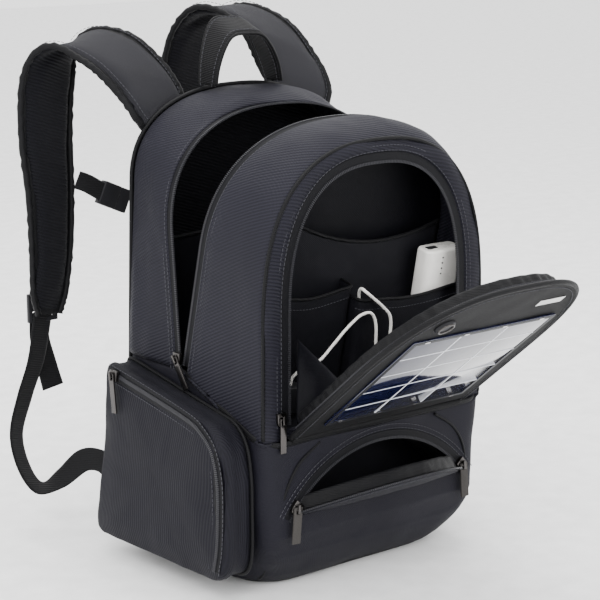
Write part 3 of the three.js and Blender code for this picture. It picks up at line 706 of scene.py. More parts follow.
def make_back():
    xz = arch(HALF - 4, BACK_HALF, 12, BACK_TOP, 90, count=81)
    xz = even(np.concatenate([xz, [(xz[-1, 0] * k, 12) for k in np.linspace(0.96, -0.96, 25)], xz[:1]]), 129)
    within = np.interp(xz[:, 1], LEVELS[:, 0], LEVELS[:, 1]) - 4
    xz[:, 0] = np.clip(xz[:, 0], -within, within)
    rows = []
    for shrink in np.linspace(1, 0.004, 30):
        ring = xyz(xz[:, 0] * shrink, BACK_Y + 6.0, 240 + (xz[:, 1] - 240) * shrink)
        ring[:, 1] += 5.0 * (1 - shrink**4) + 1.0
        rows.append(ring)
    grid = wrinkle(np.array(rows), 1.2, 60, 9.0)
    piece("back_panel_cloth", *skin(grid, 6.0, (0, -100, 240)), AIRMESH, "bag", ["back_panel"])
    for side, name in ((-1, "left"), (1, "right")):
        line = xyz(side * PAD_X, BACK_Y + 17, np.linspace(66, 408, 40))
        width = 88 - 10 * ((line[:, 2] - 66) / 342) ** 3 - 30 * np.clip((line[:, 2] - 380) / 28, 0, 1) ** 2
        pad = piece(f"back_pad_{name}_foam", *ribbon(line, (1, 0, 0), width, 8, "pad", 16), AIRMESH)
        inflate(pad, 3)
        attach(pad, "bag")
        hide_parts(f"back_pad_{name}")
        thread = Parts()
        x = np.arange(-38, 39, 4)
        for z in range(110, 400, 48):
            seam = xyz(side * PAD_X + x, BACK_Y + 21.5 - 2 * (abs(x) / 40) ** 3, z + 0.006 * x * x)
            thread.add(*rope(seam, 1.5, 6))
        thread.build(f"back_pad_{name}_seams", BINDING, "bag", smooth=True)


REAR_CORNER = 14


def perimeter(half, front, back, radius, count, rear=REAR_CORNER):
    """(x, y) round a rounded rectangle from the middle of its back; `rear` rounds the back corners."""
    points = [(0, back)]
    for side_x, side_y, start, radius in ((-1, back - rear, 90, rear), (-1, front + radius, 180, radius),
                                          (1, front + radius, 270, radius), (1, back - rear, 0, rear)):
        cx, cy = side_x * (half - radius), side_y
        for i in range(9):
            t = math.radians(start + 90 * i / 8)
            points.append((cx + radius * math.cos(t), cy + radius * math.sin(t)))
    points.append((0, back))
    return even(points, count)


# the lower body at several heights: z, half its width, y of its front
LEVELS = np.array([
    (3.0, 130, -96), (14, 136, -106), (40, 143, -123), (66, 147, -133), (90, 148, -132),
    (150, 148, -131), (214, 148, -130.6),
])


def corner_radius(share):
    """The lower body's upright corners get rounder towards the base."""
    return 24 + 24 * (1 - share) ** 0.7


def front_of_body(x, z):
    """Y of the lower body's front face at a point."""
    half, front = (np.interp(z, LEVELS[:, 0], LEVELS[:, k]) for k in (1, 2))
    radius = corner_radius(np.clip((z - 3) / 159, 0, 1))
    over = np.clip(np.abs(x) - (half - radius), 0, radius)
    return front + radius - np.sqrt(radius**2 - over**2)


def seam_height(y):
    return np.where(y < PIVOT_Y, PIVOT_Z - (PIVOT_Y - y) * tan(FOOT_SLOPE), PIVOT_Z)


def in_mouth(x, z):
    return (x - MOUTH_X) ** 2 + (z - MOUTH_Z) ** 2 < (MOUTH_R + 1) ** 2 and z > MOUTH_CHORD


def outside_mouth(point):
    return not (point[1] < -110 and in_mouth(point[0], point[2]))


def make_lower():
    rows, cols = 76, 241
    grid = np.zeros((rows, cols, 3))
    for i, share in enumerate(np.linspace(0, 1, rows)):
        level = 3 + share * 211
        half, front = (np.interp(level, LEVELS[:, 0], LEVELS[:, k]) for k in (1, 2))
        xy = perimeter(half, front, BACK_Y - 0.6, corner_radius(share), cols)
        top = seam_height(xy[:, 1]) - 0.8
        grid[i, :, :2] = xy
        grid[i, :, 2] = 3 + (top - 3) * share
    half = np.interp(grid[..., 2], LEVELS[:, 0], LEVELS[:, 1])
    grid[..., 0] *= half / np.abs(grid[..., 0]).max(axis=1, keepdims=True)
    front = np.interp(grid[..., 2], LEVELS[:, 0], LEVELS[:, 2])
    at_front = np.clip(-grid[..., 1] / 130, 0, 1) ** 6
    grid[..., 1] = grid[..., 1] * (1 - at_front) + front * at_front
    grid = wrinkle(grid, 2.0, 64, 5.0)
    flat = grid.reshape(-1, 3)
    middle = np.array([MOUTH_X, MOUTH_Z])
    for p in flat:
        if p[1] < -110 and p[2] > MOUTH_CHORD - 4:
            reach = math.hypot(p[0] - MOUTH_X, p[2] - MOUTH_Z)
            if abs(reach - MOUTH_R - 1) < 1.9 and p[2] > MOUTH_CHORD:
                p[[0, 2]] = middle + (p[[0, 2]] - middle) * (MOUTH_R + 1) / reach
            elif reach < MOUTH_R + 1 and abs(p[2] - MOUTH_CHORD) < 1.6:
                p[2] = MOUTH_CHORD
    cloth = skin(flat.reshape(grid.shape), CLOTH, (0, 0, 110), outside_mouth)
    piece("lower_body_cloth", *cloth, DENIER, "bag", ["lower_body"])
    base = []
    for s in (1.0, 0.985, 0.96, 0.8, 0.5, 0.2, 0.02):
        xy = perimeter(129 * s, -95 * s, (BACK_Y - 2) * s, 46 * s, 121, REAR_CORNER * s)
        base.append(xyz(xy[:, 0], xy[:, 1], 0.5 if s < 0.97 else 3.2))
    piece("base_cloth", *skin(np.array(base), 2.4, (0, 0, 100)), SMOOTH, "bag", ["base_panel"])


def make_waist():
    """The folded cloth between the lower body and the front section."""
    rows, cols = 9, 161
    line = perimeter(HALF + 0.4, -131.6, BACK_Y, 24, 401)
    line = even(line[line[:, 1] < PIVOT_Y - 1], cols)
    grid = np.zeros((rows, cols, 3))
    slope = math.radians(FOOT_SLOPE)
    normal = np.array([0, -math.sin(slope), math.cos(slope)])
    for i, share in enumerate(np.linspace(-1, 1, rows)):
        swell = 1.2 * (1 - share**2)
        flat = xyz(line[:, 0], line[:, 1], seam_height(line[:, 1]))
        away_dir = unit(xyz(line[:, 0], line[:, 1] * 1.1, 0))
        grid[i] = flat + normal * share * 4.0 + away_dir * swell
    waist = piece("waist_gusset", *skin(grid, 1.4, (0, 0, 190)), BINDING)
    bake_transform(waist)


def make_sleeve():
    x, z = np.meshgrid(np.linspace(-127, 127, 60), np.linspace(13, 344, 70))
    grid = xyz(x, 58 + 2.5 * np.sin(x / 40), z - 5 * (x / 127) ** 2 * (z > 200))
    grid = wrinkle(grid, 1.6, 60, 2.0)
    piece("sleeve_cloth", *skin(grid, 2.4, (0, 100, 200)), LINING, "bag", ["laptop_sleeve"])
    piece("sleeve_binding", *rope(grid[-1], 2.2), BINDING, "bag")


# ---------------- front section
FACE_POWER, OPENING_POWER, FLAP_POWER = 0.78, 0.8, 0.72  # below 1: squarer arches


def make_front():
    zip_edge = lean_arch(PIVOT_Y - 9, FRONT_LEAN, HALF, HALF, 110, FRONT_TOP, SHOULDER, count=161)
    middle = lean_arch(-64, 7.5, HALF + 1.5, HALF - 0.5, 110, FRONT_TOP, 135, count=161)
    face = lean_arch(FRONT_Y + 3, 0, HALF - 1, HALF - 2, 110, FACE_TOP + 1, 180, FACE_POWER, count=161)
    grid = through([zip_edge, middle, face], [0, 0.5, 1], 34)
    half, top = OPENING_HALF + 8, OPENING_TOP + 8
    opening = lean_arch(FRONT_Y, 0, half, half, 110, top, 154, OPENING_POWER, count=161)
    front_edge = lean_arch(FRONT_Y - 0.2, 0, HALF - 4, HALF - 5, 110, FACE_TOP - 2, 178, FACE_POWER,
                           count=161)
    panel = np.array([front_edge + (opening - front_edge) * s + (-1.6 * math.sin(math.pi * s)) * Y
                      for s in np.linspace(0, 1, 10)]).transpose(1, 0, 2)
    whole = np.concatenate([grid, panel], axis=1)
    bottom = seam_height(whole[..., 1]) + 0.8
    whole[..., 2] = np.maximum(whole[..., 2], bottom)
    whole = wrinkle(whole, 3.4, 66, 7.0, (1, 1, 0.8), sewn=True)
    whole[..., 2] = np.maximum(whole[..., 2], bottom)
    piece("front_shell_cloth", *skin(whole, CLOTH, (0, -70, 300)), TWILL, FRONT, ["front_shell"])
    y, x = np.meshgrid(np.linspace(PIVOT_Y - 4, FRONT_Y + 2, 30), np.linspace(-HALF + 3, HALF - 3, 40))
    foot = xyz(x, y, seam_height(y) + 2.2)
    piece("front_foot_cloth", *skin(foot, 1.6, (0, -60, 400)), LINING, FRONT)
    upright = np.linspace(seam_height(FRONT_Y) + 1, 176, 6)
    x, z = np.meshgrid(np.linspace(-half - 1, half + 1, 60), upright)
    sill = xyz(x, FRONT_Y - 0.4, z)
    piece("front_sill_cloth", *skin(sill, CLOTH, (0, 0, 170)), TWILL, FRONT)

    keep = zip_edge[:, 2] > SEAM_Z
    rim = zip_edge[keep]
    away_dir = outward_upright(rim, (0, -30, 300))
    forward = unit(np.array([0, 1.0, tan(FRONT_LEAN)]))
    tape = ribbon(rim + forward * 3.4 - away_dir * 1.6, forward, 9.0, 1.2)
    piece("main_zip_front_tape", *tape, TAPE, FRONT, ["main_zip_front"])
    coil, thread = Parts(), Parts()
    teeth(coil, rim + forward * 7.4 - away_dir * 1.2, forward, away_dir)
    for back_by in (2.5, 8.0):
        stitches(thread, rim - forward * back_by + away_dir * 0.6, away_dir)
    door = opening[opening[:, 2] > 178]
    inside = outward(door, (0, FRONT_Y, 300))
    piece("opening_zip_tape", *ribbon(door - inside * 4.6 + 0.8 * Y, inside, 10.0, 1.2), TAPE, FRONT)
    teeth(coil, door - inside * 9.6 + 0.2 * Y, inside, (0, -1, 0))
    for back_by in (1.8, 7.0):
        stitches(thread, door + inside * back_by - 1.4 * Y, (0, -1, 0))
    coil.build("front_zip_teeth", TEETH, FRONT)
    thread.build("front_stitching", THREAD, FRONT)
    edge = front_edge[front_edge[:, 2] > seam_height(FRONT_Y) + 2] + 0.6 * Y
    piece("front_piping", *rope(edge + outward(edge, (0, FRONT_Y, 300)) * 1.6, 2.0), BINDING, FRONT)
    lining = np.array([door + (2.5 + 8 * s) * Y + inside * (-7 + 9 * s) for s in np.linspace(0, 1, 6)])
    piece("opening_facing", *skin(wrinkle(lining, 0.8, 14, 1.0), 1.0, (0, -100, 900)), BINDING, FRONT)


def make_organiser():
    xz = arch(HALF - 9, HALF - 9, 120, ZIP_TOP - 4, SHOULDER, count=81)
    low = PIVOT_Z + 6 + (DIVIDER_Y - PIVOT_Y) * tan(FOOT_SLOPE - DIVIDER_LEAN)
    rows = []
    for share in np.linspace(1, 0.02, 24):
        ring = xyz(xz[:, 0] * share, DIVIDER_Y - 3.0, 300 + (xz[:, 1] - 300) * share)
        ring[:, 2] = np.maximum(ring[:, 2], low)
        rows.append(ring)
    grid = leant(wrinkle(np.array(rows), 1.5, 55, 4.0))
    piece("divider_cloth", *skin(grid, 2.6, (0, 100, 300)), LINING, FRONT, ["divider_panel"])

    x, v = np.meshgrid(np.linspace(-121, 121, 80), np.linspace(0, 1, 50))
    top = np.minimum(354 + 0.0022 * (x - 45) ** 2, 391)
    z = 214 + (top - 214) * v
    y = DIVIDER_Y - 18 - 3 * np.sin(math.pi * v) * np.cos(x / 70)
    grid = leant(wrinkle(xyz(x, y, z), 1.8, 45, 6.0))
    piece("tablet_pocket_cloth", *skin(grid, 2.0, (0, 100, 300)), POUCH, FRONT, ["tablet_pocket"])
    piece("tablet_pocket_binding", *rope(grid[-1], 2.0), BINDING, FRONT)

    thread = Parts()
    back_y, sag = DIVIDER_Y - 18.6, 5
    for name, x0, x1, deep, z0, z1 in (
        ("phone_pouch", -112, -8, 24, 213, 318),
        ("battery_pouch", -6, 138, 36, 211, 306),
    ):
        front_y = back_y - deep + 1
        plan = even([
            (x0, back_y), (x0, front_y + 7), (x0 + 2, front_y + 2), (x0 + 7, front_y),
            (x1 - 7, front_y), (x1 - 2, front_y + 2), (x1, front_y + 7), (x1, back_y),
        ], 90)
        rows = []
        for v in np.linspace(0, 1, 40):
            ring = np.append(plan, np.zeros((len(plan), 1)), axis=1)
            across = (plan[:, 0] - x0) / (x1 - x0)
            at_front = (plan[:, 1] < back_y - 8).astype(float)
            ring[:, 1] -= 1.6 * np.sin(math.pi * across) * math.sin(math.pi * v) * at_front
            ring[:, 2] = z0 + (z1 - z0 - sag * np.sin(math.pi * across) ** 2 * at_front) * v
            rows.append(ring)
        grid = leant(wrinkle(np.array(rows), 1.3, 34, 8.0 + x0))
        middle = leant(((x0 + x1) / 2, back_y - 5, 260))
        piece(name + "_cloth", *skin(grid, 1.8, middle), POUCH, FRONT, [name])
        hem = grid[-1] + np.array([0, 0, 0.5])
        piece(name + "_binding", *rope(hem, 1.8), BINDING, FRONT)
        front = grid[-5, 12:-12] - 0.6 * Y
        stitches(thread, front, (0, -1, 0), 2.4, 1.4, 0.5)
    thread.build("pouch_stitching", THREAD, FRONT)


def make_battery():
    hard("battery_case", "battery", WHITE, 0.8)
    light, ring = Parts(), Parts()
    axis = unit(turned(leant, (0, 0, 1)))
    ahead = unit(turned(leant, (0, -1, 0)))
    for i in range(4):
        at = leant((106, -89.2, 337 - 6 * i))
        light.add(*rope([at - ahead * 0.3, at + ahead * 0.4], 0.9, 10))
    light.build("battery_lights", METAL, "battery", smooth=True)
    socket = leant((98, -78, 345.2))
    ring.brick(socket, (1, 0, 0), ahead, axis, (13, 6, 0.8))
    ring.build("battery_socket", PLASTIC, "battery")
    hard("charge_regulator", FRONT, PLASTIC, 2.0, 3)


# ---------------- solar flap
def flap_grid(inset, y, rows=70, cols=60, z0=HINGE_Z + 2):
    """A grid over the closed flap's outline, `inset` from its edge."""
    top = HINGE_Z + FLAP_LENGTH - inset
    xz = arch(FLAP_HALF - 2 - inset, FLAP_HALF - inset, z0, top, 152 - inset, FLAP_POWER, count=401)
    right = xz[:201]
    z = z0 + (top - 0.05 - z0) * (1 - (1 - np.linspace(0, 1, rows)) ** 1.8)
    half = np.interp(z, right[:, 1], right[:, 0])
    share = np.linspace(-1, 1, cols)
    grid = np.zeros((rows, cols, 3))
    grid[..., 0] = half[:, None] * share[None, :]
    grid[..., 1] = y
    grid[..., 2] = z[:, None]
    return grid


def make_flap():
    outer = flap_grid(0, FRONT_Y - 5.6)
    outer = wrinkle(outer, 0.9, 60, 12.0)
    outer = flap_open(outer)
    piece("flap_cloth_panel", *skin(outer, 4.2, flap_open((0, 0, 300))), SMOOTH, "flap", ["solar_flap"])
    inner = flap_open(wrinkle(flap_grid(6, FRONT_Y - 0.9), 0.5, 30, 2.0))
    piece("flap_lining", *skin(inner, 0.6, flap_open((0, -900, 300))), LINING, "flap")

    half = OPENING_HALF - 4
    rim = arch(half, half, HINGE_Z + 18, OPENING_TOP - 4, 146, OPENING_POWER, count=241)
    line = xyz(rim[:, 0], 0, rim[:, 1])
    away_dir = outward(line, (0, 0, 300))
    run = np.linspace(0, length_of(line), len(line))
    rows = []
    for share in np.linspace(0, 1, 9):
        ruche = 0.7 * np.sin(run / 2.1) * math.sin(math.pi * share) + 0.5 * np.sin(run / 3.7 + 1)
        rows.append(line + (FRONT_Y + 0.2 + 13 * share) * Y + away_dir * (ruche[:, None] - 1.2 * share))
    cloth = skin(flap_open(np.array(rows)), 1.6, flap_open((0, -60, 300)))
    piece("flap_rim_cloth", *cloth, BINDING, "flap", ["flap_zip_rim"])
    coil, thread = Parts(), Parts()
    face = turned(flap_open, (0, -1, 0))
    turned_away = turned(flap_open, away_dir)
    edge = flap_open(line + (FRONT_Y - 0.2) * Y + away_dir * 3.2)
    piece("flap_zip_tape", *ribbon(edge, turned_away, 6.0, 1.0), TAPE, "flap")
    teeth(coil, flap_open(line + (FRONT_Y + 0.8) * Y + away_dir * 5.4), turned_away, -face)
    outline = arch(FLAP_HALF - 7, FLAP_HALF - 5, HINGE_Z + 6, HINGE_Z + FLAP_LENGTH - 5, 148, FLAP_POWER,
                   count=241)
    seam = flap_open(xyz(outline[:, 0], FRONT_Y - 6.2, outline[:, 1]))
    stitches(thread, seam, face)
    coil.build("flap_zip_teeth", TEETH, "flap")
    thread.build("flap_stitching", THREAD, "flap")
    border = arch(FLAP_HALF - 1.5, FLAP_HALF, HINGE_Z + 3, HINGE_Z + FLAP_LENGTH, 152, FLAP_POWER,
                  count=241)
    border = flap_open(xyz(border[:, 0], FRONT_Y - 3.4, border[:, 1]))
    piece("flap_edge_binding", *rope(border, 2.7, 10), BINDING, "flap")
    hinge = xyz(np.linspace(-FLAP_HALF + 4, FLAP_HALF - 4, 60), HINGE_Y - 0.5, HINGE_Z + 0.4)
    piece("flap_hinge_binding", *rope(hinge, 3.2, 10), SMOOTH, FRONT)

    for side, name in ((-1, "left"), (1, "right")):
        reach = math.radians(FLAP_OPEN - 3)
        rows = []
        for v in np.linspace(0.02, 1, 22):
            near = np.array([side * 105, HINGE_Y + 3, HINGE_Z + 13 + 88 * v])
            out_by, up_by = 96 * v * math.sin(reach), 80 * v * math.cos(reach)
            far = np.array([side * 104, HINGE_Y - 2 - out_by, HINGE_Z + 13 + up_by])
            t = np.linspace(0, 1, 22)[:, None]
            row = near + (far - near) * t
            row[:, 0] += side * (-9 * math.sin(math.pi * v)) * np.sin(math.pi * t[:, 0])
            rows.append(row)
        cloth = skin(wrinkle(np.array(rows), 1.6, 22, 5.0 * side), 1.0, (0, -150, 200))
        gusset = piece(f"flap_gusset_{name}_cloth", *cloth, LINING)
        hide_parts(f"flap_gusset_{name}")
        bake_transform(gusset)


def make_solar():
    low, high, half = HINGE_Z + 30, HINGE_Z + 198, 93.0
    y = FRONT_Y - 5.8
    hard("solar_panel", "flap", CELL, 0.7)
    lines, border, tabs = Parts(), Parts(), Parts()
    face = turned(flap_open, (0, -1, 0))
    up = turned(flap_open, (0, 0, 1))

    def bar(parts, x0, x1, z0, z1, proud=0.12, thick=0.3):
        middle = flap_open(((x0 + x1) / 2, y - 2.6 - proud, (z0 + z1) / 2))
        parts.brick(middle, (1, 0, 0), up, face, (x1 - x0, z1 - z0, thick))

    for x in (-half + 62, half - 62):
        bar(lines, x - 0.7, x + 0.7, low + 5, high - 5)
    for k in range(1, 5):
        z = low + (high - low) * k / 5
        bar(lines, -half + 5, half - 5, z - 0.5, z + 0.5)
    for z in (low + 2.4, high - 2.4):
        bar(border, -half + 1, half - 1, z - 2.2, z + 2.2, 0.05)
    for x in (-half + 2.4, half - 2.4):
        bar(border, x - 2.2, x + 2.2, low + 1, high - 1, 0.06)
    for x in range(-75, 76, 50):
        bar(tabs, x - 3, x + 3, high - 3.6, high - 1.2, 0.3)
        bar(tabs, x - 3, x + 3, low + 1.2, low + 3.6, 0.3)
    lines.build("cell_grid", GRID, "flap")
    border.build("panel_border", PLASTIC, "flap")
    tabs.build("panel_tabs", BRIGHT, "flap")
    hard("cable_port", "flap", PLASTIC, 0.8)
    tag, ring = Parts(), Parts()
    at = flap_open((58, y - 0.4, HINGE_Z + 232))
    tag.brick(at, (1, 0, 0), up, face, (34, 10, 1.0))
    tag.build("plain_tag", BRIGHT, "flap")
    turn = np.linspace(0, 2 * math.pi, 37)
    port = np.array([(-72 + 8 * math.cos(t), y - 3.4, HINGE_Z + 222 + 8 * math.sin(t)) for t in turn])
    ring.add(*rope(flap_open(port), 1.1))
    ring.build("port_ring", METAL, "flap", smooth=True)


# ---------------- pockets
def make_lower_pocket():
    x, v = np.meshgrid(np.linspace(-0.985, 0.985, 90), np.linspace(0, 1, 24))
    reach = math.sqrt((MOUTH_R - 4) ** 2 - (MOUTH_CHORD - MOUTH_Z) ** 2)
    px = MOUTH_X + x * reach
    top = MOUTH_Z + np.sqrt((MOUTH_R - 4) ** 2 - (x * reach) ** 2)
    pz = MOUTH_CHORD + 1 + (np.maximum(top, MOUTH_CHORD + 2) - MOUTH_CHORD - 1) * v
    flat = xyz(px, LIP_Y + 0.5 - 5 * np.sin(math.pi * v) * (1 - x**2), pz)
    grid = lip_open(wrinkle(flat, 0.9, 40, 3.0))
    cloth = skin(grid, 2.4, lip_open((0, 0, 110)))
    piece("pocket_lip_cloth", *cloth, UPRIGHT, "pocket_lip", ["lower_pocket_lip"])
    rim = flat[-1]
    away_dir = outward(rim, (MOUTH_X, LIP_Y, MOUTH_Z))
    tape = ribbon(lip_open(rim + away_dir * 1.0 + 1.4 * Y), turned(lip_open, away_dir), 7, 1.0)
    piece("pocket_lip_tape", *tape, TAPE, "pocket_lip")
    coil, thread = Parts(), Parts()
    face = turned(lip_open, (0, -1, 0))
    teeth(coil, lip_open(rim + away_dir * 4.0 + 1.2 * Y), turned(lip_open, away_dir), face)
    stitches(thread, lip_open(rim - away_dir * 4.0 - 1.2 * Y), face)
    coil.build("pocket_lip_teeth", TEETH, "pocket_lip")
    thread.build("pocket_lip_stitching", THREAD, "pocket_lip")

    band = np.array([rim + (2.0 + 15 * v) * Y - away_dir * (0.5 + 1.5 * v) for v in np.linspace(0, 1, 7)])
    facing = skin(lip_open(wrinkle(band, 1.3, 16, 9.0)), 1.2, lip_open((0, -110, 0)))
    piece("pocket_lip_facing", *facing, BINDING, "pocket_lip")

    angle = np.linspace(math.radians(35), math.radians(145), 121)

    def ring(r, y):
        return xyz(MOUTH_X + r * np.cos(angle), y, MOUTH_Z + r * np.sin(angle))

    away_dir = outward(ring(MOUTH_R, 0), (MOUTH_X, 0, MOUTH_Z))
    tape = ribbon(ring(MOUTH_R + 2.5, -132.2), away_dir, 9.5, 1.2)
    piece("pocket_zip_tape", *tape, TAPE, "bag", ["lower_pocket_zip"])
    coil, thread = Parts(), Parts()
    teeth(coil, ring(MOUTH_R - 1.0, -132.6), away_dir, (0, -1, 0))
    for r in (MOUTH_R + 8.5, MOUTH_R + 13.0):
        stitches(thread, ring(r, -132.4), (0, -1, 0))
    coil.build("pocket_zip_teeth", TEETH, "bag")
    thread.build("pocket_stitching", THREAD, "bag")

    tape = np.array([ring(MOUTH_R - 2.5 - 1.5 * v, -130 + 15 * v) for v in np.linspace(0, 1, 7)])
    piece("pocket_mouth_facing", *skin(wrinkle(tape, 1.2, 15, 3.0), 1.0, (0, -120, 900)), BINDING, "bag")
    rows = []
    for depth in np.linspace(0, 1, 14):
        r = MOUTH_R - 2 - 6 * depth
        arc = ring(r, -129 + 40 * depth)
        arc[:, 2] = np.maximum(arc[:, 2], MOUTH_CHORD - 6)
        rows.append(arc)
    seam = spline([
        (-120, 0, 8), (-126, 0, 40), (-127, 0, 80), (-121, 0, 112), (-105, 0, 138), (-78, 0, 157),
    ], 10)
    seam[:, 1] = front_of_body(seam[:, 0], seam[:, 2]) - 0.6
    for name, line in (("left", seam), ("right", seam * np.array([-1, 1, 1]))):
        piece(f"pocket_gusset_seam_{name}", *rope(line, 1.5), BINDING, "bag")
    roof = skin(wrinkle(np.array(rows), 1.4, 22, 4.0), 1.2, (0, -110, 900))
    piece("pocket_roof_lining", *roof, LINING, "bag", ["lower_pocket_lining"])
    x, z = np.meshgrid(np.linspace(-120, 124, 50), np.linspace(32, 142, 30))
    back = xyz(x, -88, z)
    piece("pocket_back_lining", *skin(wrinkle(back, 1.5, 40, 2.0), 1.6, (0, 0, 90)), LINING, "bag")


SIDE_MIDDLE = np.array([-10, 105])


def side_outline(inset, count=241):
    """The side pocket's outline as (y, z), drawn in by `inset`."""
    path = np.vstack([
        spline([
            (-62, 186), (-92, 180), (-110, 162), (-117, 130), (-118, 100),
            (-118, 60), (-114, 38), (-104, 27), (-90, 24),
        ], 8),
        even([(-90, 24), (88, 24)], 30)[1:],
        spline([(88, 24), (96, 28), (98, 36)], 6)[1:],
        even([(98, 36), (97, 200)], 30)[1:],
        spline([(97, 200), (93, 209), (84, 210)], 6)[1:],
        even([(84, 210), (-62, 186)], 30)[1:],
    ])
    path = even(path, count)
    path = np.vstack([path[:-1], path[:1]])
    return SIDE_MIDDLE + (path - SIDE_MIDDLE) * (1 - inset / 96)


def pocket_sag(points):
    """Lets the side pocket hang outwards, most at its lower rear corner."""
    points = np.array(points, float)
    low = np.clip((178 - points[..., 2]) / 130, 0, 1) ** 1.4
    rear = 0.45 + 0.55 * np.clip((points[..., 1] + 118) / 200, 0, 1)
    out = np.clip((-points[..., 0] - 156) / 24, 0, 1)
    points[..., 0] -= 10 * low * rear * out
    points[..., 1] += 6 * low * out * np.clip(points[..., 1] / 90, 0, 1)
    return points


def make_side_pocket():
    outline = side_outline(0)
    rings = []
    for share in (0.02, 0.15, 0.3, 0.45, 0.6, 0.72, 0.82, 0.9, 0.95, 0.98):
        yz = SIDE_MIDDLE + (outline - SIDE_MIDDLE) * share
        rings.append(xyz(-POCKET_OUT + 1.5 - 7 * (1 - share**3), yz[:, 0], yz[:, 1]))
    for inset, x in (
        (1.6, -POCKET_OUT + 2), (0.4, -POCKET_OUT + 5), (0, -POCKET_OUT + 10),
        (1.5, -168), (2.0, -160), (0.5, -152),
    ):
        yz = side_outline(inset)
        rings.append(xyz(x, yz[:, 0], yz[:, 1]))
    grid = pocket_sag(wrinkle(np.array(rings), 1.9, 46, 15.0))
    piece("side_pocket_cloth", *skin(grid, 2.2, (-160, -10, 105)), UPRIGHT, "bag", ["side_pocket"])
    stops = [
        (84, 202), (20, 193), (-54, 181), (-76, 173), (-94, 158), (-104, 132), (-107, 100), (-107, 62),
        (-103, 38),
    ]
    line = even(spline(stops, 12), 301)
    path = pocket_sag(xyz(-POCKET_OUT - 0.6, line[:, 0], line[:, 1]))
    away_dir = outward(path, (-POCKET_OUT, *SIDE_MIDDLE))
    piece("side_zip_tape", *ribbon(path, away_dir, 15, 1.4), TAPE, "bag", ["side_pocket_zip"])
    coil, thread = Parts(), Parts()
    teeth(coil, path + np.array([-1.0, 0, 0]), away_dir, (-1, 0, 0), 1.9, 4.4, 1.8)
    for shift in (-9.0, 7.6):
        stitches(thread, path + away_dir * shift + np.array([-0.8 - (shift < 0) * 0.6, 0, 0]), (-1, 0, 0))
    coil.build("side_zip_teeth", TEETH, "bag")
    thread.build("side_stitching", THREAD, "bag")
    seam = xyz(-152.6, outline[:, 0], outline[:, 1])
    piece("side_pocket_piping", *rope(seam, 1.8), BINDING, "bag")


def make_bottle_pocket():
    half = [(182, 20), (180, 52), (172, 70), (160, 75), (149, 74)]
    plan = even([(x, -y) for x, y in reversed(half)] + half, 80)
    rows = []
    for v in np.linspace(0, 1, 40):
        ring = np.append(plan, np.full((80, 1), 27 + 140 * v), axis=1)
        ring[:, 0] = 149 + (ring[:, 0] - 149) * (0.5 + 0.4 * math.sin(math.pi * v))
        rows.append(ring)
    grid = wrinkle(np.array(rows), 1.5, 30, 3.0)
    piece("bottle_pocket_mesh", *skin(grid, 1.4, (150, 0, 100)), AIRMESH, "bag", ["bottle_pocket"])
    run = np.linspace(0, 40 * math.pi, 80)
    hem = grid[-1] + xyz(0.8 * np.sin(run), 0, 1.5 + 0.6 * np.cos(run))
    piece("bottle_pocket_hem", *rope(hem, 3.0), BINDING, "bag")


# ---------------- harness
LEFT_STRAP = [
    (-92, 121, 472), (-104, 137, 499), (-121, 160, 524), (-142, 186, 534), (-161, 205, 523), (-170, 213, 490),
    (-173, 214, 433), (-171, 212, 372), (-173, 210, 312), (-178, 208, 264), (-180, 207, 240),
]
LEFT_ACROSS = [
    (1, 0.3, 0.3), (1, 0.35, 0.32), (0.9, 0.45, 0.32), (0.8, 0.55, 0.2), (0.9, 0.45, -0.05), (1, 0.25, -0.15),
    (1, 0.15, -0.1), (1, 0.13, 0), (1, 0.12, 0.05), (1, 0.12, 0.08), (1, 0.12, 0.08),
]
LEFT_WIDTH = [84, 88, 92, 92, 86, 80, 72, 64, 58, 50, 34]
RIGHT_STRAP = [
    (103, 123, 472), (98, 142, 505), (86, 164, 538), (67, 193, 558), (48, 219, 555), (36, 235, 524),
    (31, 242, 475), (31, 244, 415), (32, 244, 350), (29, 242, 290), (29, 240, 262),
]
RIGHT_ACROSS = [
    (1, 0, 0), (1, 0.05, 0), (1, 0.2, 0), (0.95, 0.42, 0), (0.95, 0.4, -0.1), (0.97, 0.25, -0.2),
    (1, 0.1, -0.12), (1, 0.04, 0), (1, 0, 0), (1, 0, 0), (1, 0, 0),
]
RIGHT_WIDTH = [88, 88, 86, 84, 82, 80, 76, 70, 62, 54, 34]


def sampled(points, across, widths, per_span=9):
    line = spline(points, per_span)
    side = spline(across, per_span)
    at = np.linspace(0, len(points) - 1, len(line))
    return line, side, np.interp(at, range(len(widths)), widths)


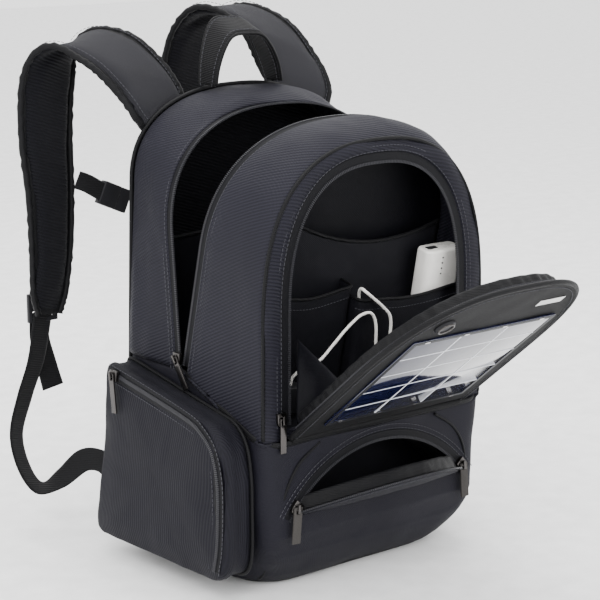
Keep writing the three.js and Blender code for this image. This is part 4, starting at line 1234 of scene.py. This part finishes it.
def make_strap(name, points, across, widths, node):
    """A padded strap: grey cloth outside, ribbed mesh inside, bound edges and a webbing overlay."""
    root = np.array(points[0]) + np.array([-17 * np.sign(points[0][0]), -6, -34])  # sunk in the back panel
    line, side, width = sampled([tuple(root)] + points, [(1, 0, 0)] + across, [widths[0] - 30] + widths)
    pad = piece(name + "_foam", *ribbon(line, side, width - 3, 8.5, "pad", 20), STRAP)
    inflate(pad, 4)
    pad.data.materials.append(AIRMESH.material)
    tangent = tangents(line)
    side = square_to(tangent, side)
    inwards = np.cross(tangent, side)
    for face in pad.data.polygons:
        near = int(np.argmin(((line * MM - np.array(face.center)) ** 2).sum(axis=1)))
        face.material_index = int(np.array(face.normal) @ inwards[near] > -0.2)
    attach(pad, "bag")
    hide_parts(node)
    run = np.linspace(0, length_of(line), len(line))
    edges, thread = Parts(), Parts()
    edges.add(*ribbon(line, side, width - 6, 3))
    for sign in (-1, 1):
        wave = 0.6 * np.sin(run / 2.1)[:, None]
        edge = line + side * (sign * (width / 2 - 2.6))[:, None] + inwards * wave
        edges.add(*rope(edge, 3.6 + 0.35 * np.sin(run / 1.7), 8))
        stitches(thread, line + side * (sign * (width / 2 - 10))[:, None] - inwards * 6.0, inwards)
    edges.build(name + "_binding", BINDING, "bag", smooth=True)
    thread.build(name + "_stitching", THREAD, "bag")
    low = slice(int(len(line) * 0.58), -1)
    piece(name + "_overlay", *ribbon(line[low] - inwards[low] * 6.8, side[low], 24, 1.6), WEBBING, "bag")


def webbing(name, points, across, width, node):
    """A flat strap through the points; `across` gives its direction across at each of them."""
    line, side, _ = sampled(points, across, [1] * len(points), 10)
    piece(name, *ribbon(line, side, width, 1.9, points=12), WEBBING, "bag", [node])


def make_harness():
    make_strap("left_strap", LEFT_STRAP, LEFT_ACROSS, LEFT_WIDTH, "shoulder_strap_left")
    make_strap("right_strap", RIGHT_STRAP, RIGHT_ACROSS, RIGHT_WIDTH, "shoulder_strap_right")
    webbing("left_webbing",
            [(-154, 119, 74), (-162, 136, 86), (-172, 158, 84), (-188, 178, 62), (-206, 194, 50),
             (-218, 206, 72), (-222, 214, 110), (-206, 220, 150), (-190, 220, 190), (-182, 216.5, 241)],
            [(0, 0.5, 1), (-0.2, 0.7, 1), (-0.2, 0.9, 1), (0.3, 1, 0.8), (1, 1, 0.3), (1, 0.7, 0.2),
             (1, 0.5, 0), (1, 0.3, 0.3), (1, 0.2, 0.1), (1, 0.1, 0.1)], 25, "strap_webbing_left")
    webbing("left_tail", [(-182, 225, 240), (-178, 232, 208), (-170, 233, 178), (-164, 230, 150)],
            [(1, 0.1, 0), (1, 0.1, -0.1), (1, 0, -0.2), (1, -0.2, -0.3)], 25, "webbing_tail_left")
    webbing("right_webbing",
            [(154, 119, 74), (152, 138, 66), (142, 164, 52), (118, 192, 56), (90, 216, 84), (62, 236, 130),
             (40, 249, 186), (29, 251, 257)],
            [(0, 0.5, 1), (0.2, 0.7, 1), (0.6, 1, 0.6), (0.9, 0.8, 0.4), (1, 0.4, 0.5), (1, 0.2, 0.5),
             (1, 0, 0.3), (1, -0.1, 0.1)], 25, "strap_webbing_right")
    webbing("right_tail", [(29, 259.5, 257), (22, 265, 222), (14, 266, 190), (10, 262, 160)],
            [(1, -0.1, 0), (1, -0.1, 0), (1, 0, -0.1), (1, 0.1, -0.1)], 25, "webbing_tail_right")
    webbing("chest_left",
            [(-141, 205, 384), (-130, 201, 379), (-112, 195, 367)],
            [(0, 0, 1), (0.3, 0, 1), (0.5, 0, 1)], 20, "chest_webbing_left")
    webbing("chest_right",
            [(-69, 198, 357), (-61, 202, 372), (-48, 212, 390), (-30, 226, 398), (-14, 237, 400)],
            [(-0.5, 0.1, 1), (-0.8, 0.1, 0.8), (-0.7, 0.2, 1), (-0.3, 0.2, 1), (0, 0, 1)],
            20, "chest_webbing_right")
    for node in ("ladder_lock_left", "ladder_lock_right", "chest_buckle_socket"):
        hard(node, "bag", PLASTIC, 0.9)
    hard("chest_buckle_clip", "chest_clip", PLASTIC, 0.9)
    for side, sign in (("left", -1), ("right", 1)):
        hard(f"webbing_anchor_{side}", "bag", DENIER, 1.5)
        root = np.array([(sign * 133, 94, 76), (sign * 140, 106, 76), (sign * 143, 119, 76)])
        piece(f"anchor_{side}_root", *ribbon(root, (0, 0, 1), 62, 5), DENIER, "bag")


def make_handle():
    line, side, width = sampled(
        [(-44, 96, 489.5), (-41, 96, 512), (-33, 96, 536), (-22, 96, 549), (-2, 96, 550), (15, 96, 547),
         (27, 96, 531), (38, 96, 509), (44, 96, 489.5)],
        [(0, 1, tilt) for tilt in (0, 0.1, 0.25, 0.4, 0.42, 0.4, 0.2, 0, 0)],
        [30, 34, 38, 38, 36, 38, 38, 34, 30], 10)
    piece("handle_cloth", *ribbon(line, side, width, 4.6, "pad", 14), WEBBING, "handle", ["top_handle"])
    tangent = tangents(line)
    up = np.cross(tangent, side)
    thread, edges = Parts(), Parts()
    for sign in (-1, 1):
        edges.add(*rope(line + side * (sign * (width / 2 - 0.5))[:, None], 1.8, 8))
        seam = line + side * (sign * (width / 2 - 5))[:, None]
        stitches(thread, seam + up * 2.4, up)
        stitches(thread, seam - up * 2.4, up)
    edges.build("handle_binding", BINDING, "handle", smooth=True)
    thread.build("handle_stitching", THREAD, "handle")


# ---------------- zip pulls
def make_pulls():
    for name in ("flap", "main_left", "main_right", "side", "pocket_left", "pocket_right"):
        hard(f"{name}_slider", f"{name}_slider", METAL, 0.5)
        cloth_tab = name.startswith("pocket")
        hard(f"{name}_tab", f"{name}_tab", PULL_CLOTH if cloth_tab else METAL, 0.35)


make_rear()
make_back()
make_lower()
make_waist()
make_sleeve()
make_front()
make_organiser()
make_battery()
make_flap()
make_solar()
make_lower_pocket()
make_side_pocket()
make_bottle_pocket()
make_harness()
make_handle()
make_pulls()
